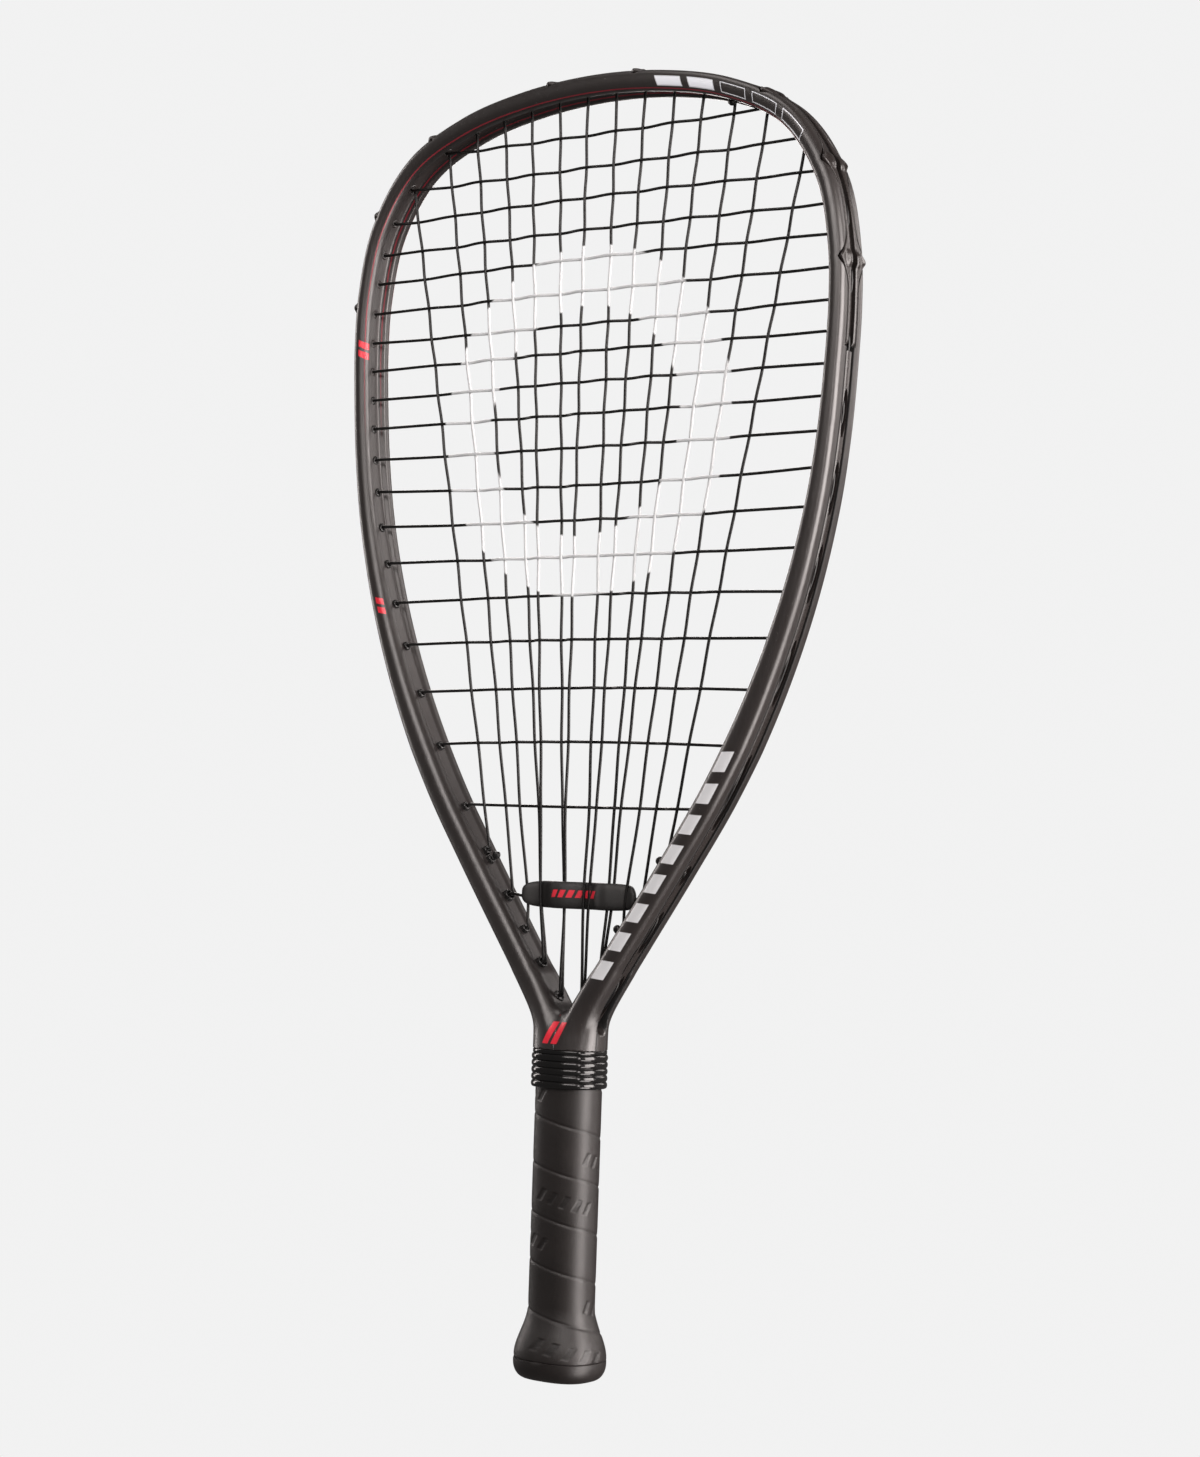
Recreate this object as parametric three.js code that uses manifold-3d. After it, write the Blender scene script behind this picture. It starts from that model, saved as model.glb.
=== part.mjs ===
// Racquetball racket: a teardrop hoop of moulded carbon on a short handle, strung with 14 mains and
// 20 woven crosses. Millimetres, +Z up along the handle, origin at the middle of the butt's underside.
// +X runs across the head and -Y is the front face.

import * as THREE from 'three';
import Module from 'manifold-3d';

const wasm = await Module();
wasm.setup();

// Driving sizes of the whole racket
const overall_length = 556.3;
const head_half_width = 121.9;
const grip_top_height = 126.5;

// Clearances
const seat_gap = 0.3;
const overrun = 4;

// Rail of the hoop: its in-plane width grows from its sides to the throat, and again over the top
const rail_width_side = 7.2;
const rail_top_extra = 1.6;
const rail_width_throat = 10.6;
const rail_growth_power = 1.6;
const rail_half_depth = 9.7;
const rail_crown = 3.9;
const rail_crown_roundness = 2.4;
const rail_crown_steps = 6;
const channel_half_width = 3.2;
const channel_rim_half_width = 4.6;
const channel_depth_top = 2.4;
const channel_depth_throat = 0.6;
const guard_inset = 1.3;
const groove_half_width = 3;
const groove_depth = 2.8;
const groove_mouth = 9;
const groove_end = 4.6;
const groove_end_sides = 12;
const hoop_straight_step = 50;
const hoop_turn_step = THREE.MathUtils.degToRad(12);
const hoop_samples = 1200;
const search_rounds = 40;

// Inner outline of the head from the throat to the top of the left half:
// shares of the half width, and of the height from the throat tip to the inner top
const head_outline_shares = [
  [0.1756, 0.0793], [0.3987, 0.18], [0.56, 0.2568], [0.727, 0.355], [0.849, 0.4504], [0.931, 0.5435],
  [0.971, 0.6193], [0.992, 0.6918], [1, 0.7503], [0.991, 0.8082], [0.938, 0.8774], [0.796, 0.9391],
  [0.566, 0.9751], [0.295, 0.9937],
];
const rail_narrow_share = 0.7301;
const rail_wide_share = 0.3021;

// Collar over the top of the grip
const collar_overlap = 3.7;
const collar_length = 15.5;
const collar_wall = 0.8;
const collar_rib_count = 5;
const collar_rib_height = 0.8;
const collar_rib_peak_share = 0.5;
const collar_lip_height = 1.1;

// Shaft and throat: half widths and half depths of the handle, and how it blends into the two rails
const section_roundness = 2.6;
const section_sides = 24;
const shaft_half_width = 11.8;
const shaft_half_depth = 9.5;
const shaft_foot_height = 4.3;
const neck_half_width = 15.9;
const neck_half_depth = 12.7;
const neck_blend = 5;
const neck_rise = 0.7;
const throat_tip_rise = 11;
const throat_fillet = 4;
const throat_bevel = 7;
const tip_fillet_steps = 4;
const yoke_half_depth = 9.4;
const yoke_rise = 22;
const yoke_steps = 5;
const yoke_inset = 1.2;

// Grommets, their strips and the bumper guard
const grommet_sides = 6;
const grommet_bore_radius = 1.15;
const grommet_wall = 0.5;
const wide_bore_radius = 2.3;
const grommet_hole_clearance = 0.35;
const grommet_tip_top = 2.1;
const grommet_tip_throat = -1.3;
const strip_thickness = 0.9;
const strip_end_gap = 2.4;
const strip_half_width = groove_half_width - seat_gap;
const bumper_wall = 1.1;
const bumper_end_share = 0.7075;
const bumper_edge_share = 0.62;
const bumper_tab_edge_share = 0.5;
const bumper_wrap_shares = [1, 5 / 6, 2 / 3];
const bumper_edge_thickness = 0.4;
const tab_rise = 1.9;
const tab_half_length = 3.6;
const tab_height_shares = [0.793, 0.8892, 0.9592];
const crown_tab_share = 0.1805;

// Strings: places are shares of the head's height above the throat tip, or of its half width
const string_radius = 0.65;
const string_sides = 4;
const main_count = 14;
const cross_count = 20;
const main_spacing_share = 0.1239;
const top_cross_share = 0.9612;
const cross_spacing_share = 0.0339;
const even_crosses = 9;
const cross_growth = 0.05;
const cross_late_growth = 0.000085;
const cross_late_power = 4;
const throat_hole_share = 0.0298;
const throat_hole_spacing_share = 0.03525;
const tie_off_share = 0.1838;
const tie_off_spacing = 4.6;
const string_lane = 0.95;
const passing_lane = 1.75;
const knot_radius = 1.1;
const knot_length = 2.6;
const knot_shift = 0.2;
const weave_spacing = 6;
const weave_margin = 3 * string_radius;

// String damper woven through the mains
const damper_half_length_share = 0.2412;
const damper_offset_share = 0.018;
const damper_half_height = 5.8;
const damper_half_thickness = 4.6;
const damper_rise = 0.3;
const damper_sides = 12;
const damper_wall = 1.1;

// Shares of the damper's half length, and of its half height there
const damper_end_shares = [[0.84, 1], [0.93, 0.9], [0.985, 0.72], [1, 0.55]];

// Grip and butt cap
const grip_wall = 1.9;
const grip_foot_height = 8.6;
const grip_steps = 5;
const flare_height = 31;
const butt_half_width = 19.3;
const butt_half_depth = 16.7;
const butt_edge_radius = 3.4;
const butt_edge_steps = 3;
const butt_skirt_height = 22;
const lanyard_hole_radius = 2.6;
const lanyard_pocket_depth = 12;
const lanyard_sides = 16;

// Heights that follow from the sizes above
const collar_foot_height = grip_top_height - collar_overlap;
const collar_top_height = collar_foot_height + collar_length;
const neck_height = collar_top_height + neck_rise;
const throat_tip_height = neck_height + throat_tip_rise;
const inner_top_height = overall_length - bumper_wall - seat_gap + guard_inset
  - rail_width_side - rail_top_extra;
const head_span = inner_top_height - throat_tip_height;
const headHeight = (share) => throat_tip_height + share * head_span;

// Other sizes that follow
const collar_seat_width = shaft_half_width + grip_wall + 2 * seat_gap;
const collar_seat_depth = shaft_half_depth + grip_wall + 2 * seat_gap;
const grommet_radius = grommet_bore_radius + grommet_wall;
const wide_grommet_radius = wide_bore_radius + grommet_wall;

// Triangles between neighbouring rings; a looped stack joins its last ring to its first
function ringFaces(rings, looped) {
  const count = rings[0].length;
  const faces = [];
  for (let r = 0; r < rings.length - (looped ? 0 : 1); r += 1) {
    const above = ((r + 1) % rings.length) * count;
    for (let k = 0; k < count; k += 1) {
      const next = (k + 1) % count;
      faces.push([r * count + k, r * count + next, above + next], [r * count + k, above + next, above + k]);
    }
  }
  return faces;
}

// A loft through rings of points, closed by a cap at both ends.
// The cap follows the ring's outline, given as [u, v] pairs in the order of the ring.
function loft(rings, outline) {
  const count = outline.length;
  const points = rings.flat();
  const faces = ringFaces(rings, false);
  const flat = outline.map(([u, v]) => new THREE.Vector2(u, v));
  const turn = Math.sign(THREE.ShapeUtils.area(flat));
  const last = (rings.length - 1) * count;
  for (const [i, j, k] of THREE.ShapeUtils.triangulateShape(flat, [])) {
    const same = Math.sign(THREE.ShapeUtils.area([flat[i], flat[j], flat[k]])) === turn;
    const cap = same ? [i, j, k] : [i, k, j];
    faces.push([cap[0], cap[2], cap[1]], [last + cap[0], last + cap[1], last + cap[2]]);
  }
  return solid(points, faces);
}

// A closed solid from points and triangles, turned right side out
function solid(points, faces) {
  let volume = 0;
  for (const [i, j, k] of faces) {
    volume += points[i].dot(new THREE.Vector3().crossVectors(points[j], points[k]));
  }
  const outward = volume < 0 ? faces.map(([i, j, k]) => [i, k, j]) : faces;
  return new wasm.Manifold(new wasm.Mesh({
    numProp: 3,
    vertProperties: new Float32Array(points.flatMap((p) => [p.x, p.y, p.z])),
    triVerts: new Uint32Array(outward.flat()),
  }));
}

function union(solids) {
  return solids.reduce((whole, piece) => whole.add(piece));
}

// The named mesh of a finished solid
function part(name, body, color, roughness, metalness = 0) {
  const { vertProperties, triVerts, numProp } = body.getMesh();
  const corners = new Float32Array(triVerts.length * 3);
  triVerts.forEach((vertex, i) => {
    corners.set(vertProperties.subarray(vertex * numProp, vertex * numProp + 3), i * 3);
  });
  const geometry = new THREE.BufferGeometry();
  geometry.setAttribute('position', new THREE.BufferAttribute(corners, 3));
  geometry.computeVertexNormals();
  const mesh = new THREE.Mesh(geometry, new THREE.MeshStandardMaterial({ color, roughness, metalness }));
  mesh.name = name;
  return mesh;
}

// Stations of the hoop
// The path is the head's inner outline, from the throat up the left side, over the top and down the
// right side. Stations crowd where it turns, and each knows its outward normal and its distance run.
const hoop = (() => {
  const left = head_outline_shares.map(([across, up]) => new THREE.Vector3(
    -across * head_half_width, 0, throat_tip_height + up * head_span));
  const slope = Math.atan2(-left[1].x + left[0].x, left[1].z - left[0].z);
  const tangent_length = throat_fillet / Math.tan(slope);
  left.unshift(new THREE.Vector3(
    -Math.sin(slope) * tangent_length, 0, throat_tip_height + Math.cos(slope) * tangent_length));
  const top = new THREE.Vector3(0, 0, inner_top_height);
  const right = left.map((p) => new THREE.Vector3(-p.x, 0, p.z)).reverse();
  const curve = new THREE.CatmullRomCurve3([...left, top, ...right], false, 'centripetal');
  const samples = hoop_samples;
  const fine = Array.from({ length: samples + 1 }, (_, i) => curve.getPoint(i / samples / 2));
  const angle = fine.map((p, i) => {
    const q = fine[Math.min(i + 1, samples)];
    const o = fine[Math.max(i - 1, 0)];
    return i === samples ? 0 : Math.atan2(q.z - o.z, q.x - o.x);
  });
  const weight = [0];
  for (let i = 1; i <= samples; i += 1) {
    const turn = Math.abs(angle[i] - angle[i - 1]) / hoop_turn_step;
    weight.push(weight[i - 1] + fine[i].distanceTo(fine[i - 1]) / hoop_straight_step + turn);
  }
  const count = Math.ceil(weight[samples]);
  const half = [];
  let i = 0;
  for (let n = 0; n <= count; n += 1) {
    while (weight[i] < (n / count) * weight[samples] - Number.EPSILON) i += 1;
    half.push({ x: fine[i].x, z: fine[i].z, nx: -Math.sin(angle[i]), nz: Math.cos(angle[i]) });
  }
  half[count] = { x: 0, z: inner_top_height, nx: 0, nz: 1 };
  const mirrored = half.slice(0, -1).reverse().map((p) => ({ ...p, x: -p.x, nx: -p.nx }));
  const stations = [...half, ...mirrored];
  let run = 0;
  stations.forEach((p, k) => {
    if (k > 0) run += Math.hypot(p.x - stations[k - 1].x, p.z - stations[k - 1].z);
    p.s = run;
  });
  return stations;
})();
const hoop_length = hoop.at(-1).s;
const throat_half_angle = Math.atan2(-hoop[0].nz, -hoop[0].nx);

// Station at a distance along the path, straight between its neighbours
function stationAt(s) {
  const next = Math.max(1, hoop.findIndex((p) => p.s >= Math.min(s, hoop_length)));
  const a = hoop[next - 1];
  const b = hoop[next];
  const t = (s - a.s) / (b.s - a.s);
  const mix = (key) => THREE.MathUtils.lerp(a[key], b[key], t);
  return { s, x: mix('x'), z: mix('z'), nx: mix('nx'), nz: mix('nz') };
}

// Point at a distance along the path, n outward of it and y behind the string plane
function place(station, n, y) {
  return new THREE.Vector3(station.x + station.nx * n, y, station.z + station.nz * n);
}

// Distance along the left half of the path at which a test first holds
function firstAlong(test, from, to) {
  let low = from;
  let high = to;
  for (let i = 0; i < search_rounds; i += 1) {
    const middle = (low + high) / 2;
    if (test(stationAt(middle))) high = middle;
    else low = middle;
  }
  return high;
}

const alongAtHeight = (height) => firstAlong((p) => p.z >= height, 0, hoop_length / 2);
const widest_along = alongAtHeight(headHeight(rail_narrow_share));
const alongAtOffset = (offset) => firstAlong((p) => p.x >= -offset, widest_along, hoop_length / 2);

function railGrowth(height) {
  const narrow = headHeight(rail_narrow_share);
  const share = (narrow - height) / (narrow - headHeight(rail_wide_share));
  return THREE.MathUtils.clamp(share, 0, 1) ** rail_growth_power;
}

const railWidth = (p) => THREE.MathUtils.lerp(rail_width_side, rail_width_throat, railGrowth(p.z))
  + rail_top_extra * Math.max(0, p.nz) ** 2;
const channelDepth = (p) => THREE.MathUtils.lerp(channel_depth_top, channel_depth_throat, railGrowth(p.z));
const grommetTip = (p) => THREE.MathUtils.lerp(grommet_tip_top, grommet_tip_throat, railGrowth(p.z));

// The bumper guard's two ends; the rail's outer half is set back between them
const bumper_from = alongAtHeight(headHeight(bumper_end_share));
const bumper_to = hoop_length - bumper_from;
const recess_from = bumper_from - seat_gap;
const recess_to = bumper_to + seat_gap;

// Half of a rail's rounded face: a superellipse from the inner edge, share 0, to the outer edge, share 1
function crownPoint(width, share, lift, inset = 0) {
  const t = share * Math.PI;
  const power = 2 / rail_crown_roundness;
  const cos = Math.cos(t);
  const reach = width / 2 + lift - (cos < 0 ? inset : 0);
  return [
    width / 2 - reach * Math.sign(cos) * Math.abs(cos) ** power,
    rail_half_depth - rail_crown + (rail_crown + lift) * Math.sin(t) ** power,
  ];
}

const mirrorDepth = (points) => points.map(([n, y]) => [n, -y]).reverse();

function railSection(station) {
  const width = railWidth(station);
  const inset = station.s >= recess_from && station.s <= recess_to ? guard_inset : 0;
  const face = Array.from(
    { length: rail_crown_steps + 1 }, (_, i) => crownPoint(width, i / rail_crown_steps, 0, inset));
  const depth = channelDepth(station);
  const half = [[depth, channel_half_width], [0, channel_rim_half_width], ...face];
  return [...half, ...mirrorDepth(half)];
}

function sweep(stations, section) {
  const rings = stations.map((p) => section(p).map(([n, y]) => place(p, n, y)));
  return loft(rings, section(stations[0]));
}

function stationsBetween(from, to, extra = []) {
  const clear = (p) => !extra.some((along) => Math.abs(along - p.s) < tab_half_length / 2);
  const inner = hoop.filter((p) => p.s > from && p.s < to && clear(p));
  return [...inner, ...[from, to, ...extra].map(stationAt)].sort((a, b) => a.s - b.s);
}

// Stations of the frame's own rails, with a step to either end of the recess for the guard
const railStations = [
  ...hoop, ...[recess_from - seat_gap, recess_from, recess_to, recess_to + seat_gap].map(stationAt),
].sort((a, b) => a.s - b.s);

// A straight round bar with flat sides, for grommets and holes
function bar(from, to, radius, sides) {
  const axis = to.clone().sub(from).normalize();
  const across = new THREE.Vector3(0, 1, 0).cross(axis).normalize();
  const other = axis.clone().cross(across);
  const outline = Array.from({ length: sides }, (_, k) => {
    const t = (k / sides) * 2 * Math.PI;
    return [radius * Math.cos(t), radius * Math.sin(t)];
  });
  const corner = (centre, [u, v]) => centre.clone().addScaledVector(across, u).addScaledVector(other, v);
  const ring = (centre) => outline.map((point) => corner(centre, point));
  return loft([ring(from), ring(to)], outline);
}

// Places of the string holes
// A wide hole carries two strings side by side, one in each lane.
const holes = [];

function addHole(along, wide = false) {
  const station = stationAt(along);
  const hole = { along, wide, station, lay: railWidth(station) - groove_depth, tip: grommetTip(station) };
  holes.push(hole);
  return hole;
}

function addPair(along, wideLeft, wideRight = wideLeft) {
  return [addHole(along, wideLeft), addHole(hoop_length - along, wideRight)];
}

function crossHeight(k) {
  const grown = Math.max(0, k - 1 - even_crosses);
  let steps = k - 1;
  for (let n = 1; n <= grown; n += 1) steps += cross_growth * n + cross_late_growth * n ** cross_late_power;
  return headHeight(top_cross_share - cross_spacing_share * steps);
}

// A hole is placed by the height of the string's bend at its tip
const bendReach = (p) => grommetTip(p) - string_radius;
const holeAlong = (height) => firstAlong((p) => p.z + p.nz * bendReach(p) >= height, 0, hoop_length / 2);
const throatAlong = (step) => holeAlong(headHeight(throat_hole_share + step * throat_hole_spacing_share));
const crossEnds = Array.from({ length: cross_count }, (_, i) => {
  const k = i + 1;
  return k < cross_count ? addPair(holeAlong(crossHeight(k)), k < 3) : addPair(throatAlong(3), true);
});
const mainTops = Array(main_count);
const mainFeet = Array(main_count);
const half_count = main_count / 2;
for (let i = 0; i < half_count; i += 1) {
  const shared = i < 2;
  const offset = (half_count - i - 0.5) * main_spacing_share * head_half_width;
  const top = shared ? crossEnds[1 - i] : addPair(alongAtOffset(offset), false, i === 2);
  mainTops[i] = top[0];
  mainTops[main_count - 1 - i] = top[1];
}
const lastFoot = holeAlong(headHeight(tie_off_share));
const tieOffs = addPair(lastFoot - tie_off_spacing, false);
const feet = [
  addPair(lastFoot, false),
  crossEnds[cross_count - 1],
  addPair(throatAlong(2), false, true),
  addPair(throatAlong(1), true),
  addPair(throatAlong(0), true),
];
[0, 1, 2, 3, 3, 4, 4].forEach((foot, i) => {
  mainFeet[i] = feet[foot][0];
  mainFeet[main_count - 1 - i] = feet[foot][1];
});

// Frame: the swept rails, the throat and the handle shaft in one moulding
function superellipse(halfWidth, halfDepth, height, sides = section_sides) {
  return Array.from({ length: sides }, (_, k) => {
    const t = (k / sides) * 2 * Math.PI;
    const round = (value) => Math.sign(value) * Math.abs(value) ** (2 / section_roundness);
    return new THREE.Vector3(halfWidth * round(Math.cos(t)), halfDepth * round(Math.sin(t)), height);
  });
}

function stack(sections) {
  const rings = sections.map((section) => superellipse(...section));
  return loft(rings, rings[0].map((p) => [p.x, p.y]));
}

// Outer reach of the rails at a height in the throat
function railReach(height) {
  const inner = (height - throat_tip_height) * Math.tan(throat_half_angle);
  return inner + rail_width_throat / Math.cos(throat_half_angle);
}

function yokeSection(share) {
  const height = neck_height + (throat_tip_rise + yoke_rise) * share;
  const blend = (reach) => (neck_half_width + reach + Math.hypot(neck_half_width - reach, neck_blend)) / 2;
  const excess = blend(railReach(neck_height)) - neck_half_width;
  const halfWidth = blend(railReach(height)) - excess * (1 - share) - yoke_inset * share ** 2;
  return [halfWidth, THREE.MathUtils.lerp(neck_half_depth, yoke_half_depth, share), height];
}

// The open head, cut through the throat down to its filleted tip
function headOpening() {
  const centre = throat_tip_height + throat_fillet / Math.sin(throat_half_angle);
  const sweepAngle = Math.PI / 2 - throat_half_angle;
  const fillet = Array.from({ length: tip_fillet_steps - 1 }, (_, i) => {
    const t = sweepAngle * (1 - (2 * (i + 1)) / tip_fillet_steps);
    const [nx, nz] = [Math.sin(t), -Math.cos(t)];
    return { x: throat_fillet * nx, z: centre + throat_fillet * nz, nx, nz };
  });
  const outline = [...hoop, ...fillet];
  const reach = neck_half_depth + overrun;
  const straight = rail_half_depth - rail_crown;
  const rings = [[-reach, throat_bevel], [-straight, 0], [straight, 0], [reach, throat_bevel]].map(
    ([y, n]) => outline.map((p) => place(p, n, y)));
  return loft(rings, outline.map((p) => [p.x, p.z]));
}

function grooveCut() {
  const from = mainFeet[half_count - 1].along - groove_end;
  const stations = stationsBetween(from, hoop_length - from);
  const section = (p) => {
    const floor = railWidth(p) - groove_depth;
    const mouth = railWidth(p) + groove_mouth;
    return [[floor, groove_half_width], [mouth, groove_half_width], [mouth, -groove_half_width],
      [floor, -groove_half_width]];
  };
  const ends = [stations[0], stations.at(-1)].map((p) => bar(
    place(p, railWidth(p) - groove_depth, 0), place(p, railWidth(p) + groove_mouth, 0),
    groove_half_width, groove_end_sides));
  return union([sweep(stations, section), ...ends]);
}

const lanyardBore = (from, to) => bar(
  new THREE.Vector3(0, 0, from), new THREE.Vector3(0, 0, to), lanyard_hole_radius, lanyard_sides);

function makeFrame() {
  const sections = [
    [shaft_half_width, shaft_half_depth, shaft_foot_height],
    [shaft_half_width, shaft_half_depth, grip_top_height + seat_gap],
    [collar_seat_width - seat_gap, collar_seat_depth - seat_gap, collar_top_height + seat_gap],
    ...Array.from({ length: yoke_steps + 1 }, (_, i) => yokeSection(i / yoke_steps)),
  ];
  const handle = stack(sections).subtract(headOpening());
  const rails = sweep(railStations, railSection);
  const holeBars = holes.map((hole) => {
    const radius = (hole.wide ? wide_grommet_radius : grommet_radius) + grommet_hole_clearance;
    const outer = railWidth(hole.station) + groove_mouth;
    return bar(place(hole.station, -overrun, 0), place(hole.station, outer, 0), radius, grommet_sides);
  });
  const pocket = lanyardBore(shaft_foot_height - overrun, shaft_foot_height + lanyard_pocket_depth);
  return union([handle, rails]).subtract(union([grooveCut(), ...holeBars, pocket]));
}

// Grommets on their carrier: barrels are added to it and bored for the strings
function withGrommets(body, carried) {
  const tube = (hole, radius, from, to) => bar(
    place(hole.station, from, 0), place(hole.station, to, 0), radius, grommet_sides);
  const barrels = carried.map((hole) => {
    const root = hole.lay + seat_gap + strip_thickness / 2;
    return tube(hole, hole.wide ? wide_grommet_radius : grommet_radius, hole.tip, root);
  });
  const bores = carried.map((hole) => {
    const beyond = hole.lay + strip_thickness + overrun;
    return tube(hole, hole.wide ? wide_bore_radius : grommet_bore_radius, hole.tip - overrun, beyond);
  });
  return union([body, ...barrels]).subtract(union(bores));
}

function stripSection(station) {
  const floor = railWidth(station) - groove_depth + seat_gap;
  return [[floor, strip_half_width], [floor + strip_thickness, strip_half_width],
    [floor + strip_thickness, -strip_half_width], [floor, -strip_half_width]];
}

function makeStrip(side) {
  const from = mainFeet[half_count - 1].along - groove_end + seat_gap;
  const to = bumper_from - strip_end_gap;
  const ends = side < 0 ? [from, to] : [hoop_length - to, hoop_length - from];
  const carried = holes.filter((hole) => hole.along > ends[0] && hole.along < ends[1]);
  return withGrommets(sweep(stationsBetween(...ends), stripSection), carried);
}

// Bumper guard: a trough in the groove whose two flanges wrap round the rail's outer half
const tabs = [
  ...tab_height_shares.map((share) => alongAtHeight(headHeight(share))),
  alongAtOffset(crown_tab_share * head_half_width),
].flatMap((along) => [along, hoop_length - along]).sort((a, b) => a - b);

function bumperSection(station) {
  const width = railWidth(station);
  const floor = width - groove_depth + seat_gap;
  const near = Math.min(...tabs.map((along) => Math.abs(along - station.s)));
  const tab = near < tab_half_length / 2 ? 1 : 0;
  const edge = tab ? bumper_tab_edge_share : bumper_edge_share;
  const shares = [...bumper_wrap_shares, edge];
  const wrap = (share, lift) => crownPoint(width, share, seat_gap + lift, guard_inset);
  const thickness = (share) => tab * tab_rise + THREE.MathUtils.mapLinear(
    share, edge, 1, bumper_edge_thickness, bumper_wall);
  const inner = shares.map((share) => wrap(share, 0));
  const outer = shares.map((share) => wrap(share, thickness(share))).reverse();
  const trough = strip_half_width - strip_thickness;
  const half = [
    [floor, strip_half_width], [inner[0][0], strip_half_width], ...inner, ...outer,
    [outer.at(-1)[0], trough], [floor + strip_thickness, trough],
  ];
  return [...half, ...mirrorDepth(half)];
}

function makeBumper() {
  const tabSteps = tabs.flatMap((along) => [along - tab_half_length, along, along + tab_half_length]);
  const body = sweep(stationsBetween(bumper_from, bumper_to, tabSteps), bumperSection);
  return withGrommets(body, holes.filter((hole) => hole.along > bumper_from && hole.along < bumper_to));
}

// A round cord along a line of points, mitred at each bend so that its thickness stays even
function cord(path) {
  let forward = path[1].clone().sub(path[0]).normalize();
  const side = new THREE.Vector3(0, 1, 0);
  if (Math.abs(side.dot(forward)) > 0.9) side.set(1, 0, 0);
  side.addScaledVector(forward, -side.dot(forward)).normalize();
  const other = new THREE.Vector3().crossVectors(forward, side);
  const outline = Array.from({ length: string_sides }, (_, k) => {
    const t = (k / string_sides) * 2 * Math.PI;
    return [string_radius * Math.cos(t), string_radius * Math.sin(t)];
  });
  let spokes = outline.map(([u, v]) => side.clone().multiplyScalar(u).addScaledVector(other, v));
  const rings = path.map((centre, i) => {
    const ahead = i + 1 < path.length ? path[i + 1].clone().sub(centre).normalize() : forward;
    const mitre = forward.clone().add(ahead).normalize();
    const ring = spokes.map((spoke) => spoke.clone().addScaledVector(
      forward, -spoke.dot(mitre) / forward.dot(mitre)));
    spokes = ring.map((spoke) => spoke.clone().addScaledVector(ahead, -spoke.dot(ahead)));
    forward = ahead;
    return ring.map((spoke) => spoke.add(centre));
  });
  return loft(rings, outline);
}

// Where a string leaves a grommet, inside the head and outside in the groove
const innerBend = (hole, lane) => place(hole.station, bendReach(hole.station), lane);
const outerRise = seat_gap + strip_thickness + seat_gap + string_radius;
const outerBend = (hole, lane) => place(hole.station, hole.lay + outerRise, lane);

// A loop of string outside the rail, through the hoop's own stations between two holes
function outsideLoop(from, to, laneFrom, laneTo, laneBetween) {
  const low = Math.min(from.along, to.along) + grommet_radius;
  const high = Math.max(from.along, to.along) - grommet_radius;
  const between = hoop.filter((p) => p.s > low && p.s < high).map((p) => {
    const share = (p.s - from.along) / (to.along - from.along);
    const lane = laneBetween ?? THREE.MathUtils.lerp(laneFrom, laneTo, share);
    return place(p, railWidth(p) - groove_depth + outerRise, lane);
  });
  if (from.along > to.along) between.reverse();
  return [outerBend(from, laneFrom), ...between, outerBend(to, laneTo)];
}

const backLane = (hole) => (hole.wide ? string_lane : 0);
const frontLane = (hole) => (hole.wide ? -string_lane : 0);

// A string's end: a knot against the inner side of its grommet
const knotPoint = (hole, drop) => place(
  hole.station, hole.tip - seat_gap - drop, frontLane(hole) - knot_shift);
const stringEnd = (hole) => knotPoint(hole, knot_length / 2);
const knot = (hole) => bar(knotPoint(hole, 0), knotPoint(hole, knot_length), knot_radius, grommet_sides);

// Mains: one string goes up and down the head, and two strands share each of the lowest holes
const main_order = [0, 1, 2, 3, 5, 4, 6, 7, 9, 8, 10, 11, 12, 13];
const front_feet = [4, 6, 7, 9];
const mainTop = (i) => innerBend(mainTops[i], backLane(mainTops[i]));
const footLane = (i) => (front_feet.includes(i) ? frontLane(mainFeet[i]) : backLane(mainFeet[i]));
const mainFoot = (i) => innerBend(mainFeet[i], footLane(i));

function mainPath() {
  const [start, end] = tieOffs;
  const path = [stringEnd(start), ...outsideLoop(start, mainFeet[0], 0, 0)];
  main_order.forEach((i, n) => {
    const up = n % 2 === 0;
    path.push(...(up ? [mainFoot(i), mainTop(i)] : [mainTop(i), mainFoot(i)]));
    const next = main_order[n + 1];
    if (next === undefined) return;
    const loop = up
      ? outsideLoop(mainTops[i], mainTops[next], backLane(mainTops[i]), backLane(mainTops[next]))
      : outsideLoop(mainFeet[i], mainFeet[next], footLane(i), footLane(next));
    path.push(...loop);
  });
  path.push(...outsideLoop(mainFeet[main_count - 1], end, 0, 0), stringEnd(end));
  return path;
}

// Crosses: each passes over and under the mains in turn, and takes close mains as one
function weave(from, to, parity) {
  const level = from.z;
  const crossed = [];
  for (let i = 0; i < main_count; i += 1) {
    const foot = mainFoot(i);
    const top = mainTop(i);
    const share = (level - foot.z) / (top.z - foot.z);
    const point = foot.clone().lerp(top, share);
    const within = Math.abs(point.x) < Math.abs(from.x) - weave_margin;
    if (share > 0 && share < 1 && within) crossed.push(point);
  }
  const groups = [];
  crossed.forEach((point, n) => {
    if (n === 0 || point.x - crossed[n - 1].x > weave_spacing) groups.push([]);
    groups.at(-1).push(point);
  });
  const lift = 2 * string_radius + seat_gap;
  const bends = groups.flatMap((group, n) => {
    const depths = group.map((point) => point.y);
    const y = (n + parity) % 2 === 0 ? Math.max(...depths) + lift : Math.min(...depths) - lift;
    return group.map((point) => new THREE.Vector3(point.x, y, level));
  });
  return [from, ...(from.x < to.x ? bends : bends.reverse()), to];
}

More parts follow.
